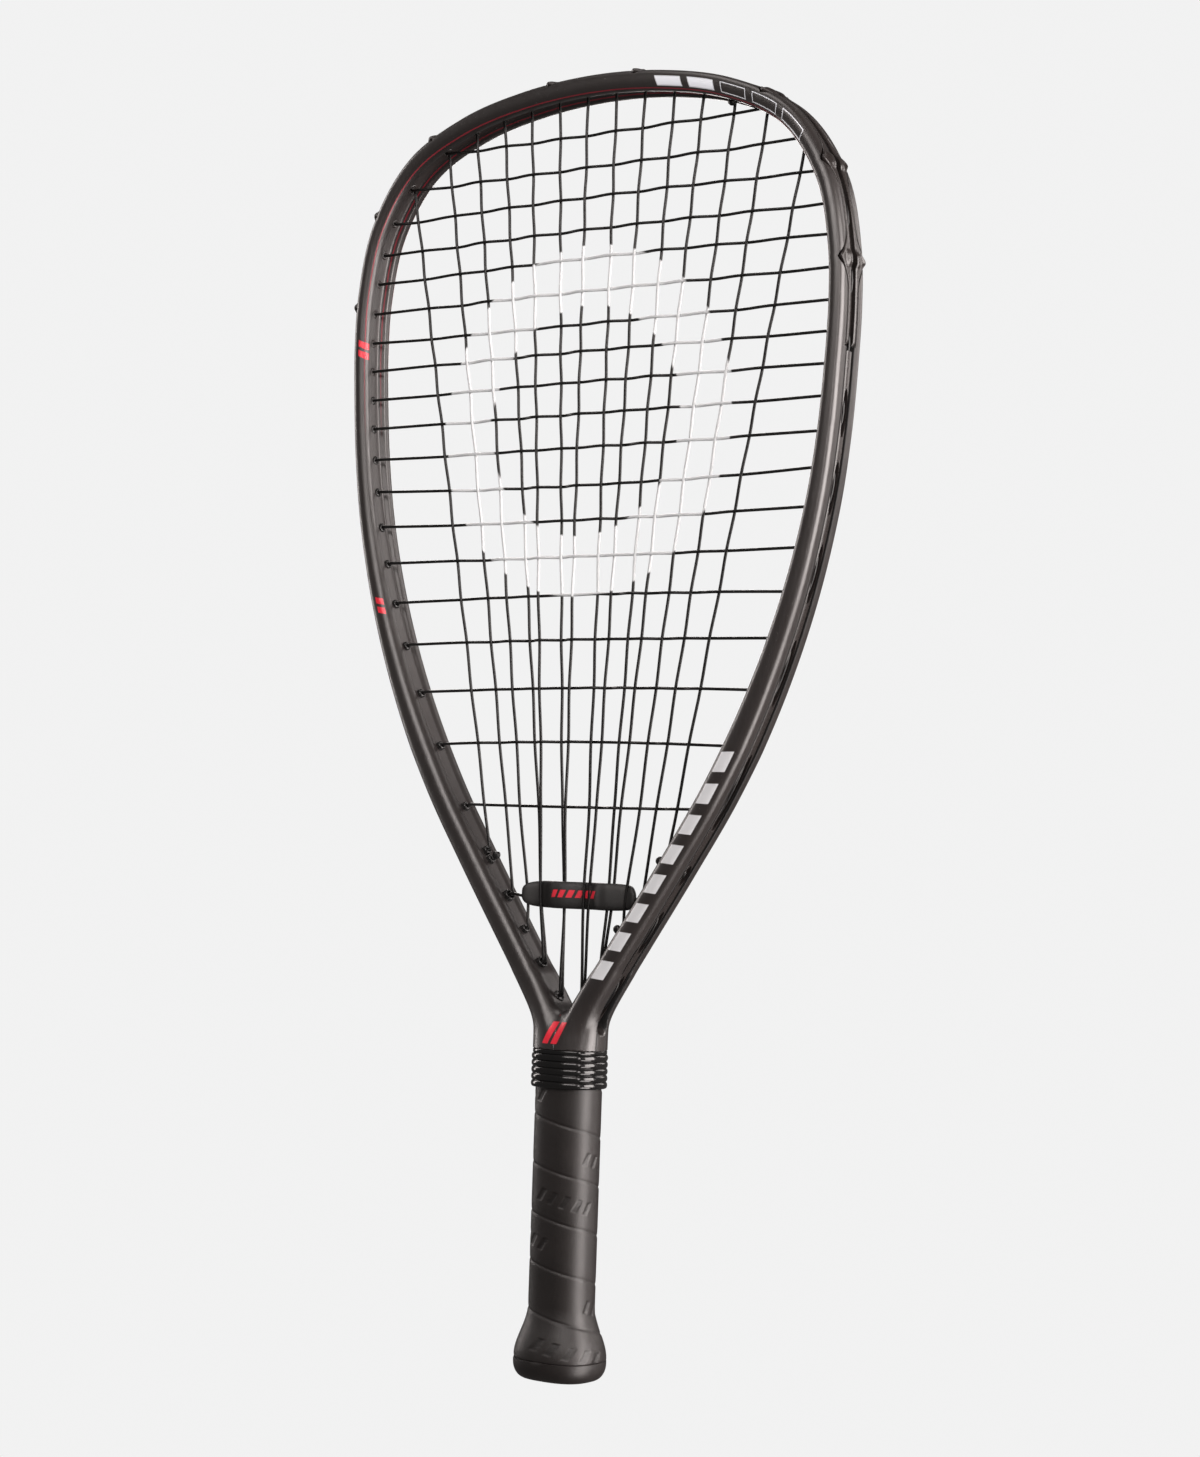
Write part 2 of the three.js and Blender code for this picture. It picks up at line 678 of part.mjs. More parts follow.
function crossPath() {
  const start = mainTops[main_count - 3];
  const end = mainFeet[main_count - 3];
  const first = crossEnds[0][1];
  const path = [stringEnd(start), ...outsideLoop(start, first, frontLane(start), frontLane(first))];
  crossEnds.forEach(([left, right], n) => {
    const leftward = n % 2 === 0;
    const [from, to] = leftward ? [right, left] : [left, right];
    path.push(...weave(innerBend(from, frontLane(from)), innerBend(to, frontLane(to)), n));
    const next = n + 1 < cross_count ? crossEnds[n + 1][leftward ? 0 : 1] : end;
    const lane = n + 2 === cross_count ? -passing_lane : undefined;
    path.push(...outsideLoop(to, next, frontLane(to), frontLane(next), lane));
  });
  path.push(stringEnd(end));
  return path;
}

// Damper: a soft bar threaded through the mains, which lie in slots from its front and its back in turn
function box(low, high) {
  const outline = [[low.x, low.y], [high.x, low.y], [high.x, high.y], [low.x, high.y]];
  return loft([low.z, high.z].map((z) => outline.map(([x, y]) => new THREE.Vector3(x, y, z))), outline);
}

function makeDamper() {
  const left = damper_end_shares.map(([along, size]) => [-along, size]).reverse();
  const shares = [...left, ...damper_end_shares];
  const halfLength = damper_half_length_share * head_half_width;
  const offset = damper_offset_share * head_half_width;
  const level = innerBend(crossEnds[cross_count - 1][0], 0).z;
  const height = level + damper_rise;
  const middleRing = superellipse(damper_half_thickness, damper_half_height, 0, damper_sides);
  const outline = middleRing.map((p) => [p.x, p.y]);
  const body = loft(shares.map(([along, size]) => outline.map(([y, z]) => new THREE.Vector3(
    offset + along * halfLength, y * size, height + z * size))), outline);
  const reach = damper_half_thickness - damper_wall;
  const room = string_radius + seat_gap;
  const tunnel = box(
    new THREE.Vector3(offset - halfLength - overrun, -reach, level - room),
    new THREE.Vector3(offset + halfLength + overrun, reach, level + room));
  const slots = [];
  let front = false;
  let last = -Infinity;
  for (let i = 2; i < main_count - 2; i += 1) {
    const foot = mainFoot(i);
    const top = mainTop(i);
    const at = (z) => foot.clone().lerp(top, (z - foot.z) / (top.z - foot.z));
    const middle = at(height);
    if (middle.x - last > weave_spacing / 2) front = !front;
    last = middle.x;
    const depth = damper_half_thickness + overrun;
    const sides = front ? [-depth, middle.y + room] : [middle.y - room, depth];
    const outlineAt = ({ x }) => [
      [x - room, sides[0]], [x + room, sides[0]], [x + room, sides[1]], [x - room, sides[1]]];
    const half = damper_half_height + overrun;
    const rings = [height - half, height + half].map((z) => outlineAt(at(z)).map(
      ([x, y]) => new THREE.Vector3(x, y, z)));
    slots.push(loft(rings, outlineAt(middle)));
  }
  return body.subtract(union([tunnel, ...slots]));
}

// Grip: a wrap over the shaft that flares out over the skirt of the butt cap
const grip_half_width = shaft_half_width + seat_gap + grip_wall;
const grip_half_depth = shaft_half_depth + seat_gap + grip_wall;

function flare(height, inset) {
  const share = THREE.MathUtils.clamp((height - grip_foot_height) / (flare_height - grip_foot_height), 0, 1);
  const swell = (1 + Math.cos(share * Math.PI)) / 2;
  return [
    THREE.MathUtils.lerp(grip_half_width, butt_half_width, swell) - inset,
    THREE.MathUtils.lerp(grip_half_depth, butt_half_depth, swell) - inset,
    height,
  ];
}

function sleeve(outer, inner) {
  const rings = [...outer, ...inner.reverse()].map((section) => superellipse(...section));
  return solid(rings.flat(), ringFaces(rings, true));
}

const stepsBetween = (from, to, count) => Array.from(
  { length: count + 1 }, (_, i) => THREE.MathUtils.lerp(from, to, i / count));

function makeGrip() {
  const outer = stepsBetween(grip_foot_height, flare_height, grip_steps).map((height) => flare(height, 0));
  outer.push([grip_half_width, grip_half_depth, grip_top_height]);
  const skirtTop = butt_skirt_height + seat_gap;
  const inner = stepsBetween(grip_foot_height, skirtTop, grip_steps - 1).map(
    (height) => flare(height, grip_wall));
  inner.push(
    [shaft_half_width + seat_gap, shaft_half_depth + seat_gap, skirtTop],
    [shaft_half_width + seat_gap, shaft_half_depth + seat_gap, grip_top_height]);
  return sleeve(outer, inner);
}

function makeCollar() {
  const ribsTop = collar_top_height - collar_lip_height;
  const pitch = (ribsTop - collar_foot_height) / collar_rib_count;
  const ring = (height, rise) => [
    collar_seat_width + collar_wall + rise, collar_seat_depth + collar_wall + rise, height];
  const outer = Array.from({ length: collar_rib_count }, (_, i) => [
    ring(collar_foot_height + pitch * i, 0),
    ring(collar_foot_height + pitch * (i + collar_rib_peak_share), collar_rib_height),
  ]).flat();
  const lip = collar_rib_height / 2;
  outer.push(ring(ribsTop, 0), ring(ribsTop, lip), ring(collar_top_height, lip));
  const inner = [collar_foot_height, collar_top_height].map(
    (height) => [collar_seat_width, collar_seat_depth, height]);
  return sleeve(outer, inner);
}

function makeButt() {
  const rim = grip_foot_height - seat_gap;
  const edge = stepsBetween(0, Math.PI / 2, butt_edge_steps).map((t) => {
    const inset = butt_edge_radius * (1 - Math.sin(t));
    return [butt_half_width - inset, butt_half_depth - inset, butt_edge_radius * (1 - Math.cos(t))];
  });
  const skirt = stepsBetween(rim, butt_skirt_height, grip_steps - 1).map(
    (height) => flare(height, grip_wall + seat_gap));
  const body = stack([...edge, [butt_half_width, butt_half_depth, rim], ...skirt]);
  const socket = stack([shaft_foot_height - seat_gap, butt_skirt_height + overrun].map((height) => [
    shaft_half_width + seat_gap, shaft_half_depth + seat_gap, height]));
  const lanyardHole = lanyardBore(-overrun, shaft_foot_height);
  return body.subtract(socket).subtract(lanyardHole);
}

const racket = new THREE.Group();
racket.name = 'racket';
const crossKnots = [mainTops, mainFeet].map((ends) => knot(ends[main_count - 3]));
racket.add(
  part('frame', makeFrame(), '#4a4542', 0.42, 0.15),
  part('bumper_guard', makeBumper(), '#3b3735', 0.5),
  part('grommet_strip_left', makeStrip(-1), '#171616', 0.55),
  part('grommet_strip_right', makeStrip(1), '#171616', 0.55),
  part('main_string', union([cord(mainPath()), ...tieOffs.map(knot)]), '#1a1a1a', 0.4),
  part('cross_string', union([cord(crossPath()), ...crossKnots]), '#1a1a1a', 0.4),
  part('string_damper', makeDamper(), '#2c2a2a', 0.7),
  part('grip_collar', makeCollar(), '#121111', 0.15),
  part('grip_wrap', makeGrip(), '#2b2624', 0.75),
  part('butt_cap', makeButt(), '#2a2523', 0.7),
);

export default racket;
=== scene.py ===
# %% [markdown]
# # A racquetball racket, surface by surface
# The CAD model gives every size here. This script dresses it: each part of the racket is made again as a
# finer surface in the same place, with a finish built from shader nodes. Lengths are in millimetres, as a
# maker would have them, and turned into metres in one place.

# %% Load the frame
import bmesh
import bpy
import numpy as np
from mathutils import Matrix


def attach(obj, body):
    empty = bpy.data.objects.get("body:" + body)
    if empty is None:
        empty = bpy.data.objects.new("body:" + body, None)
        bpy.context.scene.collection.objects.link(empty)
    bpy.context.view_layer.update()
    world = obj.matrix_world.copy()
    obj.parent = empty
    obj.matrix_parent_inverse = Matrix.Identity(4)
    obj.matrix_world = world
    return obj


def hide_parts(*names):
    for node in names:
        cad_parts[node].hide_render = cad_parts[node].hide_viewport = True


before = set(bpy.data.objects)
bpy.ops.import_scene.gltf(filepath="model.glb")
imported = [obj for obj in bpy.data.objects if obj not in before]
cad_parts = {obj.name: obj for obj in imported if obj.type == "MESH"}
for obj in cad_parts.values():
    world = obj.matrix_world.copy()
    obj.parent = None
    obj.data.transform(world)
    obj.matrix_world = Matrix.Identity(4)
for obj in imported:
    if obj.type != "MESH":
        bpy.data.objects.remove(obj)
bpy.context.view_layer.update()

MM = 0.001
scene = bpy.context.scene

# %% [markdown]
# ## Camera
# The photograph was taken from low on the right. Its viewpoint was fitted to the string holes, which lie
# on a known grid. A camera needs a place and three directions, the columns of its matrix: right, up, and
# back, which is the way it looks away from.

# %% Camera
def add_object(name, data):
    """An object of a mesh, camera or lamp, linked to the scene."""
    thing = bpy.data.objects.new(name, data)
    scene.collection.objects.link(thing)
    return thing


def hang(name, data, position, axes):
    """A camera or a lamp at a position in mm; its right, up and back directions are the matrix's columns."""
    thing = add_object(name, data)
    thing.matrix_world = Matrix.Translation(position * MM) @ Matrix(np.column_stack(axes).tolist()).to_4x4()
    return thing


EYE = np.array([742.49, -1006.87, 223.51])
right = np.array([0.8090, 0.5868, 0.0337])
forward = np.array([-0.5877, 0.8080, 0.0417])
right /= np.linalg.norm(right)
forward -= right * (forward @ right)
forward /= np.linalg.norm(forward)
lens = bpy.data.cameras.new("photo_camera")
lens.lens, lens.sensor_width = 72.4, 36.0
scene.camera = hang("photo_camera", lens, EYE, (right, np.cross(right, forward), -forward))
print("camera is", round(float(np.linalg.norm(EYE[:2])) * MM, 2), "m from the handle")

# %% [markdown]
# ## Meshes from arrays
# A surface with two parameters is a grid of points, and its faces follow from the row and column numbers
# alone, so whole arrays keep the work quick. The sign of a closed shape's volume tells whether its faces
# point outwards.

# %% Mesh helpers
def grid_faces(rows, columns, loop=False):
    """Four-cornered faces of a grid whose last column joins its first."""
    r, c = np.arange(rows if loop else rows - 1)[:, None], np.arange(columns)
    above, beside = (r + 1) % rows * columns, (c + 1) % columns
    return np.stack([r * columns + c, r * columns + beside, above + beside, above + c], -1).reshape(-1, 4)


def circle(count):
    """Angles evenly round a full turn."""
    return np.arange(count) / count * 2 * np.pi


def stacked(x, y, z):
    """Points from three coordinates, each stretched to the others' shape."""
    return np.stack(np.broadcast_arrays(x, y, z), -1)


def rounded(value, power):
    """A sine or cosine made fuller or slimmer, with its sign kept: |value|^power."""
    return np.sign(value) * np.abs(value) ** power


def facing_out(points, faces):
    """The faces, turned round if the volume, a sum of corner times area vector, is negative."""
    a, b, c, d = (points[faces[:, i]] for i in range(4))
    return faces if ((a + c) * np.cross(c - a, d - b)).sum() > 0 else faces[:, ::-1]


def closed(rings, loop=False):
    """Rings, (rows, columns, 3), as a closed shape: joined end to end, or with both ends filled."""
    if not loop:
        ends = [np.broadcast_to(ring.mean(0), ring.shape)[None] for ring in (rings[0], rings[-1])]
        rings = np.r_[ends[0], rings, ends[1]]
    points = rings.reshape(-1, 3)
    return points, facing_out(points, grid_faces(*rings.shape[:2], loop=loop))


def joined(parts):
    """Several (points, faces) pairs as one pair."""
    starts = np.cumsum([0] + [len(points) for points, _ in parts[:-1]])
    return np.concatenate([p for p, _ in parts]), np.concatenate([f + s for (_, f), s in zip(parts, starts)])


WELD, SLIVER = 1e-6, 1e-7


def make_piece(name, shape, material, slot, *nodes, sharp=None, along=None):
    """A mesh object from (points in mm, faces), welded, smooth, and tied to the racket's body."""
    points, faces = shape
    mesh = bpy.data.meshes.new(name)
    mesh.from_pydata((points * MM).tolist(), [], [f[:3] if f[2] == f[-1] else f for f in faces.tolist()])
    if along is not None:
        data = mesh.attributes.new("along", "FLOAT_VECTOR", "POINT").data
        data.foreach_set("vector", along.astype(np.float32).ravel())
    bm = bmesh.new()
    bm.from_mesh(mesh)
    bmesh.ops.remove_doubles(bm, verts=bm.verts, dist=WELD)
    bmesh.ops.dissolve_degenerate(bm, edges=bm.edges, dist=SLIVER)
    bm.to_mesh(mesh)
    bm.free()
    mesh.shade_smooth()
    if sharp:
        mesh.set_sharp_from_angle(angle=np.radians(sharp))
    mesh.materials.append(material)
    piece = add_object(name, mesh)
    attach(piece, "root")
    if nodes:
        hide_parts(*nodes)
    edges = np.empty(len(mesh.loops), np.int32)
    mesh.loops.foreach_get("edge_index", edges)
    print(f"{name}: {len(mesh.polygons)} faces, {(np.bincount(edges) == 1).sum()} open edges")


# %% [markdown]
# ## Sizes
# These are the CAD model's own sizes, so that every surface lands where its solid is. A pair is a half
# width and a half depth.

# %% Sizes
LENGTH, HALF_WIDTH, GRIP_TOP = 556.3, 121.9, 126.5
GAP = 0.3
RAIL_SIDE, RAIL_TOP_EXTRA, RAIL_THROAT, RAIL_HALF_DEPTH, CROWN = 7.2, 1.6, 10.6, 9.7, 3.9
GROOVE_DEPTH, GROOVE_HALF = 2.8, 3.0
GUARD_INSET, GUARD_WALL = 1.3, 1.1
COLLAR_FOOT = GRIP_TOP - 3.7
COLLAR_TOP = COLLAR_FOOT + 15.5
NECK = COLLAR_TOP + 0.7
TIP = NECK + 11
INNER_TOP = LENGTH - GUARD_WALL - GAP + GUARD_INSET - RAIL_SIDE - RAIL_TOP_EXTRA
SPAN = INNER_TOP - TIP
SHAFT, SEAT, NECK_SIZE, FLARE = (11.8, 9.5), (14.0, 11.7), (15.9, 12.7), (19.3, 16.7)
YOKE_DEPTH, YOKE_RISE = 9.4, 22
STRING = 0.65
print("head from", TIP, "to", round(INNER_TOP, 1), "mm")


def smooth(low, high, value):
    """0 below low, 1 above high, and an S-curve between: 3t^2 - 2t^3."""
    t = np.clip((value - low) / (high - low), 0, 1)
    return t * t * (3 - 2 * t)


# %% [markdown]
# ## The hoop's path
# The inner edge of the head is a smooth curve through 14 points of its left half. A centripetal
# Catmull-Rom curve passes through every point and doesn't overshoot where they crowd. Every later surface
# is placed by three numbers: distance along this path, distance outwards, and depth behind the strings.

# %% Path of the hoop
SHARES = np.array([
    [0.1756, 0.0793], [0.3987, 0.18], [0.56, 0.2568], [0.727, 0.355], [0.849, 0.4504], [0.931, 0.5435],
    [0.971, 0.6193], [0.992, 0.6918], [1, 0.7503], [0.991, 0.8082], [0.938, 0.8774], [0.796, 0.9391],
    [0.566, 0.9751], [0.295, 0.9937]])


def through_points(p, steps):
    """Centripetal Catmull-Rom: cubics, with knots apart by the root of the distance."""
    p = np.r_[[2 * p[0] - p[1]], p, [2 * p[-1] - p[-2]]]
    a, b, c, d = p[:-3], p[1:-2], p[2:-1], p[3:]
    k0, k1, k2 = (np.linalg.norm(q - o, axis=1, keepdims=True) ** 0.5 for o, q in ((a, b), (b, c), (c, d)))
    m = k1 * ((b - a) / k0 - (c - a) / (k0 + k1) + (c - b) / k1)
    n = k1 * ((c - b) / k1 - (d - b) / (k1 + k2) + (d - c) / k2)
    t = (np.arange(steps) / steps)[:, None, None]
    curve = b + t * m + t ** 2 * (-3 * b + 3 * c - 2 * m - n) + t ** 3 * (2 * b - 2 * c + m + n)
    return np.r_[curve.transpose(1, 0, 2).reshape(-1, 2), p[-2:-1]]


left = np.column_stack([-SHARES[:, 0] * HALF_WIDTH, TIP + SHARES[:, 1] * SPAN])
slope = np.arctan2(-left[1, 0] + left[0, 0], left[1, 1] - left[0, 1])
first = np.array([[-np.sin(slope), np.cos(slope)]]) * 4 / np.tan(slope) + [[0, TIP]]
left = np.r_[first, left]
route = through_points(np.r_[left, [[0, INNER_TOP]], left[::-1] * [-1, 1]], 60)
run = np.r_[0, np.cumsum(np.linalg.norm(np.diff(route, axis=0), axis=1))]
TOTAL = run[-1]
fine_s = np.linspace(0, TOTAL, 2401)
fine_x, fine_z = (np.interp(fine_s, run, route[:, i]) for i in range(2))
angle = np.unwrap(np.arctan2(np.gradient(fine_z), np.gradient(fine_x)))
angle = np.convolve(np.pad(angle, 6, mode="edge"), np.ones(13) / 13, "valid")
print("inner edge is", round(TOTAL, 1), "mm long")


def hoop_at(s):
    """Place and outward direction at a distance along the path: x, z, nx, nz."""
    a = np.interp(s, fine_s, angle)
    return np.interp(s, fine_s, fine_x), np.interp(s, fine_s, fine_z), -np.sin(a), np.cos(a)


def place(s, n, y):
    """Points at distance s along the path, n outwards and y behind the string plane, in mm."""
    x, z, nx, nz = hoop_at(s)
    return stacked(x + nx * n, y, z + nz * n)


def height_share(share):
    return TIP + share * SPAN


def growth(z):
    """0 at the hoop's sides and top, rising to 1 towards the throat."""
    high, low = height_share(0.7301), height_share(0.3021)
    return np.clip((high - z) / (high - low), 0, 1) ** 1.6


def rail_width(s):
    """In-plane width of the rail: 7.2 mm at the sides, 10.6 at the throat, and 8.8 over the top."""
    _, z, _, nz = hoop_at(s)
    return RAIL_SIDE + (RAIL_THROAT - RAIL_SIDE) * growth(z) + RAIL_TOP_EXTRA * np.maximum(0, nz) ** 2


half_s = np.linspace(0, TOTAL / 2, 20001)
half_x, half_z, _, half_nz = hoop_at(half_s)


def first_where(test):
    """Distance along the left half of the first place where a test holds."""
    return float(half_s[np.argmax(test)])


def at_height(z):
    return first_where(half_z >= z)


def over_top(x):
    """Distance along to the place over the top, left of the middle, that has this x."""
    return first_where((half_x >= x) & (half_z > 400))


# %% [markdown]
# ## Light and floor
# The photograph has a plain pale ground and very soft light. Floor and walls are one curved bowl, a
# profile turned about the handle's axis, so the ground is pale from every side. It is kept out of the
# racket's light and reflections: those come from large area lights, which draw the long, soft streaks
# that show a satin lacquer. One of them shines up from under the ground, so the bowl casts no shadow.

# %% Stage
def node_material(name, base, roughness, **sockets):
    """A material with its shader's own sockets set; patterns are linked to it afterwards."""
    material = bpy.data.materials.new(name)
    material.use_nodes = True
    inputs = material.node_tree.nodes["Principled BSDF"].inputs
    for socket, value in {"Base Color": (*base, 1), "Roughness": roughness, **sockets}.items():
        inputs[socket.replace("_", " ")].default_value = value
    return material


FLOOR_REACH, BEND, WALL_TOP = 4000, 1500, 9000
bend = np.linspace(0, np.pi / 2, 16)
reach = np.r_[np.linspace(1, FLOOR_REACH, 8), FLOOR_REACH + BEND * np.sin(bend),
              np.full(4, FLOOR_REACH + BEND)][:, None]
rise = np.r_[np.zeros(8), BEND * (1 - np.cos(bend)), np.linspace(2500, WALL_TOP, 4)][:, None]
bowl = stacked(reach * np.cos(circle(48)), reach * np.sin(circle(48)), rise - 0.2)
floor_mesh = bpy.data.meshes.new("studio_floor")
floor_mesh.from_pydata((bowl.reshape(-1, 3) * MM).tolist(), [], grid_faces(*bowl.shape[:2]).tolist())
floor_mesh.shade_smooth()
floor_mesh.materials.append(node_material("pale_paper", (0, 0, 0), 0.9, Specular_IOR_Level=0.0,
                                          Emission_Color=(1, 1, 1, 1), Emission_Strength=0.885))
studio_floor = add_object("studio_floor", floor_mesh)
studio_floor.visible_diffuse = studio_floor.visible_glossy = studio_floor.visible_shadow = False

# Azimuth 0 is straight in front and 90 to the right: azimuth, elevation, width, height, watts.
LAMPS = {"front_panel": (10, 28, 1600, 720, 24), "near_camera": (50, 12, 260, 1300, 9),
         "wide_right": (103, 4, 1600, 1500, 84), "low_right": (88, -34, 1500, 700, 26),
         "rim_left": (-85, 12, 300, 1500, 14), "overhead": (-20, 75, 1200, 700, 8),
         "back_left": (-140, 17, 600, 800, 10), "back_right": (158, 17, 500, 800, 5)}
LAMP_DISTANCE, HEAD_MIDDLE = 1900, np.array([0, 0, 330])

for name, (azimuth, elevation, width, height, watts) in LAMPS.items():
    lamp = bpy.data.lights.new(name, "AREA")
    lamp.shape, lamp.size, lamp.size_y, lamp.energy = "RECTANGLE", width * MM, height * MM, watts
    lamp.color = 1.0, 0.93, 0.905
    a, e = np.radians([azimuth, elevation])
    back = stacked(np.sin(a) * np.cos(e), -np.cos(a) * np.cos(e), np.sin(e))
    side = stacked(np.cos(a), np.sin(a), 0)
    light = hang(name, lamp, back * LAMP_DISTANCE + HEAD_MIDDLE, (side, np.cross(back, side), back))
    light.visible_camera = False

world = bpy.data.worlds.new("studio")
world.use_nodes = True
background = world.node_tree.nodes["Background"].inputs
background["Color"].default_value, background["Strength"].default_value = (1.0, 0.94, 0.92, 1), 0.14
scene.world = world
scene.view_settings.view_transform = "Standard"
print(len(LAMPS), "soft lights")

# %% [markdown]
# ## Finishes
# A real surface varies a little in shade and gloss, and has a fine relief, so each material mixes noise
# into all three. The patterns read Object coordinates, which are the model's own metres, or an attribute
# of the piece where a pattern follows its shape. A node's output is wrapped as a signal, so a formula in
# Python becomes a chain of Math nodes.

# %% Shader helpers
def adds_node(operation):
    """An operator of a signal: it adds the Math node of that operation."""
    return lambda self, other: self.math(operation, other)


class Signal:
    """A number or colour that varies over a surface: one output of a shader node."""

    def __init__(self, socket):
        self.socket, self.tree = socket, socket.id_data

    def math(self, operation, other=0.0):
        return node(self.tree, "ShaderNodeMath", operation=operation, in0=self, in1=other)

    def __abs__(self):
        return self.math("ABSOLUTE")

    __add__, __sub__, __mul__, __pow__ = map(adds_node, ("ADD", "SUBTRACT", "MULTIPLY", "POWER"))
    __lt__, __gt__ = map(adds_node, ("LESS_THAN", "GREATER_THAN"))
    __mod__, __or__ = map(adds_node, ("FLOORED_MODULO", "MAXIMUM"))


def node(tree, kind, output=0, **inputs):
    """Adds a shader node, fills its inputs, and gives one of its outputs."""
    made = tree.nodes.new(kind)
    for name, value in inputs.items():
        fill(made, name, value)
    return Signal(made.outputs[output])


def fill(target, name, value):
    """Links or sets the socket of that name, or of a number as in in6; or sets a property."""
    if name.startswith("in"):
        socket = target.inputs[int(name[2:])]
    else:
        socket = target.inputs.get(name.replace("_", " "))
    if socket is None:
        setattr(target, name, value)
    elif isinstance(value, Signal):
        target.id_data.links.new(value.socket, socket)
    else:
        socket.default_value = value


def object_place(tree, scale=(1, 1, 1)):
    """Object coordinates in millimetres, stretched by a scale on each axis."""
    return node(tree, "ShaderNodeMapping", Vector=node(tree, "ShaderNodeTexCoord", "Object"),
                Scale=tuple(v / MM for v in scale))


def components(vector):
    """The three numbers of a vector."""
    return [node(vector.tree, "ShaderNodeSeparateXYZ", i, Vector=vector) for i in range(3)]


def carried(tree):
    """The coordinates that a piece carries: distance along, distance across, and depth."""
    return components(node(tree, "ShaderNodeAttribute", "Vector", attribute_name="along"))


def noise(at, scale, detail=4.0, rough=0.55):
    """Noise from 0 to 1 whose lumps are 1/scale mm across."""
    return node(at.tree, "ShaderNodeTexNoise", Vector=at, Scale=scale, Detail=detail, Roughness=rough)


def ramp(value, low, high, to_low=0.0, to_high=1.0):
    """Maps low...high to 0...1, or to two other limits, and stays at the limits beyond."""
    return node(value.tree, "ShaderNodeMapRange", Value=value, From_Min=low, From_Max=high,
                To_Min=to_low, To_Max=to_high)


def spread(value, low, high):
    """A noise's value, mapped from its usual middle range to low and high."""
    return ramp(value, 0.3, 0.7, low, high)


def between(value, low, high, soft=0.12):
    """1 where a value lies between low and high, with soft edges."""
    return ramp(value, low - soft, low + soft) * ramp(value, high + soft, high - soft)


def bars(along, across, start, period, count, length, low, high, slant, grow=0.0, inside=between):
    """1 inside a row of equal slanted bars: along, less slant times across, repeats every period."""
    skewed = along - start - across * slant
    margin = (period - length) / 2 - grow
    return (inside(skewed, 0, period * count) * inside(skewed % period, margin, period - margin)
            * inside(across, low - grow, high + grow))


def painted(base, layers):
    """A colour with further colours laid over it, each where its mask is 1."""
    for mask, colour in layers:
        ends = [c if isinstance(c, Signal) else (*c, 1) for c in (base, colour)]
        base = node(mask.tree, "ShaderNodeMix", 2, data_type="RGBA", in0=mask, in6=ends[0], in7=ends[1])
    return base


def finish(material, colour, roughness, height, depth_mm):
    """Links the shader's colour, roughness, and a bump that many millimetres deep."""
    bump = node(height.tree, "ShaderNodeBump", Height=height, Distance=depth_mm * MM, Strength=1.0)
    for name, value in (("Base Color", colour), ("Roughness", roughness), ("Normal", bump)):
        fill(material.node_tree.nodes["Principled BSDF"], name, value)
    return material


# %% [markdown]
# ## Lacquer of the hoop
# The moulding is carbon under a satin grey lacquer with a faint metal sheen, fine streaks and a few dust
# specks. The rail carries its own coordinates (along, outwards, depth), so a stripe can follow the hoop at
# an exact place. A near-black line is painted along the narrow step beside the groove, as painted shadow of
# the gap there.

# %% Lacquer
LACQUER_SHADES = (0.0125, 0.0098, 0.0091), (0.0215, 0.0174, 0.0162)
# STREAK and DUST are the lacquer's own; the third colour is painted shadow for the step beside the groove
STREAK, DUST, PAINTED_GROOVE_SHADOW = (0.008, 0.0062, 0.0058), (0.4, 0.38, 0.36), (0.0012, 0.001, 0.001)
SILVER, WHITE, RED, PINSTRIPE = (0.66, 0.68, 0.7), (0.8, 0.84, 0.9), (0.7, 0.012, 0.032), (0.25, 0.008, 0.022)
SILVER_HEIGHTS = 168, 268
TOP_ROW = dict(period=16.6, length=12.4, low=1.9, high=5.4, slant=-0.5)


def frame_print_and_shadow(tree, at):
    """The frame's printed marks, and the painted shadow along the groove's step, as (mask, colour) layers."""
    along, outward, depth = carried(tree)
    x, y, z = components(at)
    front, off_middle = depth < -5.9, abs(depth)
    beside = between(off_middle, 3.5, 3.95, 0.08) | between(off_middle, 8.05, 8.5, 0.08)
    pinstripe = beside * (outward < 1.6) * between(along, at_height(430), TOTAL - at_height(430), 25)
    foot, head = (TOTAL - at_height(z) for z in SILVER_HEIGHTS)
    silver = bars(along, outward, head, (foot - head) / 8, 8, 9.4, 2.4, 7.9, -0.55)
    rows = [bars(along, outward, TOTAL - over_top(-34), count=count, grow=grow, **TOP_ROW)
            for count, grow in ((5, 0.28), (5, 0.0), (2, 0.0))]
    red = (y < -6.0) * bars(x, z, -70.4, 4.6, 2, 3.1, 141.5, 150.8, 0.45)
    for height, low, high in ((441, 0.0, 3.2), (325, 1.2, 4.6)):
        red = red | front * bars(along, outward, at_height(height), 4.4, 2, 2.9, low, high, 0.5)
    # painted shadow: a near-black line along the step beside the groove, standing in for the gap's shade
    step = (outward > 4.5) * between(off_middle, 2.7, 3.6)
    white = rows[0] - rows[1] | rows[2]
    return [(pinstripe * 0.8, PINSTRIPE), (front * silver, SILVER), (front * white, WHITE), (red, RED),
            (step, PAINTED_GROOVE_SHADOW)]


def lacquer():
    m = node_material("satin_lacquer", (0.1, 0.095, 0.09), 0.4, Metallic=0.1, Specular_IOR_Level=0.75,
                      Coat_Weight=0.15, Coat_Roughness=0.25)
    at = object_place(m.node_tree)
    streak = noise(object_place(m.node_tree, (1, 1, 0.08)), 0.9, 6.0, 0.65)
    dust = ramp(noise(at, 1.6, 2.0, 0.5), 0.72, 0.78)
    marks_and_shade = frame_print_and_shadow(m.node_tree, at)
    base = painted(LACQUER_SHADES[0], [(spread(noise(at, 0.03), 0, 1), LACQUER_SHADES[1]),
                                       (spread(streak, 0, 0.45), STREAK), (dust * 0.35, DUST)] + marks_and_shade)
    # the painted shadow line, the last layer, is also made rougher, so the gloss dulls there
    return finish(m, base, marks_and_shade[-1][0] * 0.5 + spread(streak, 0.3, 0.42), streak, 0.03)


satin_lacquer = lacquer()
print("the lacquer has", len(satin_lacquer.node_tree.nodes), "nodes")

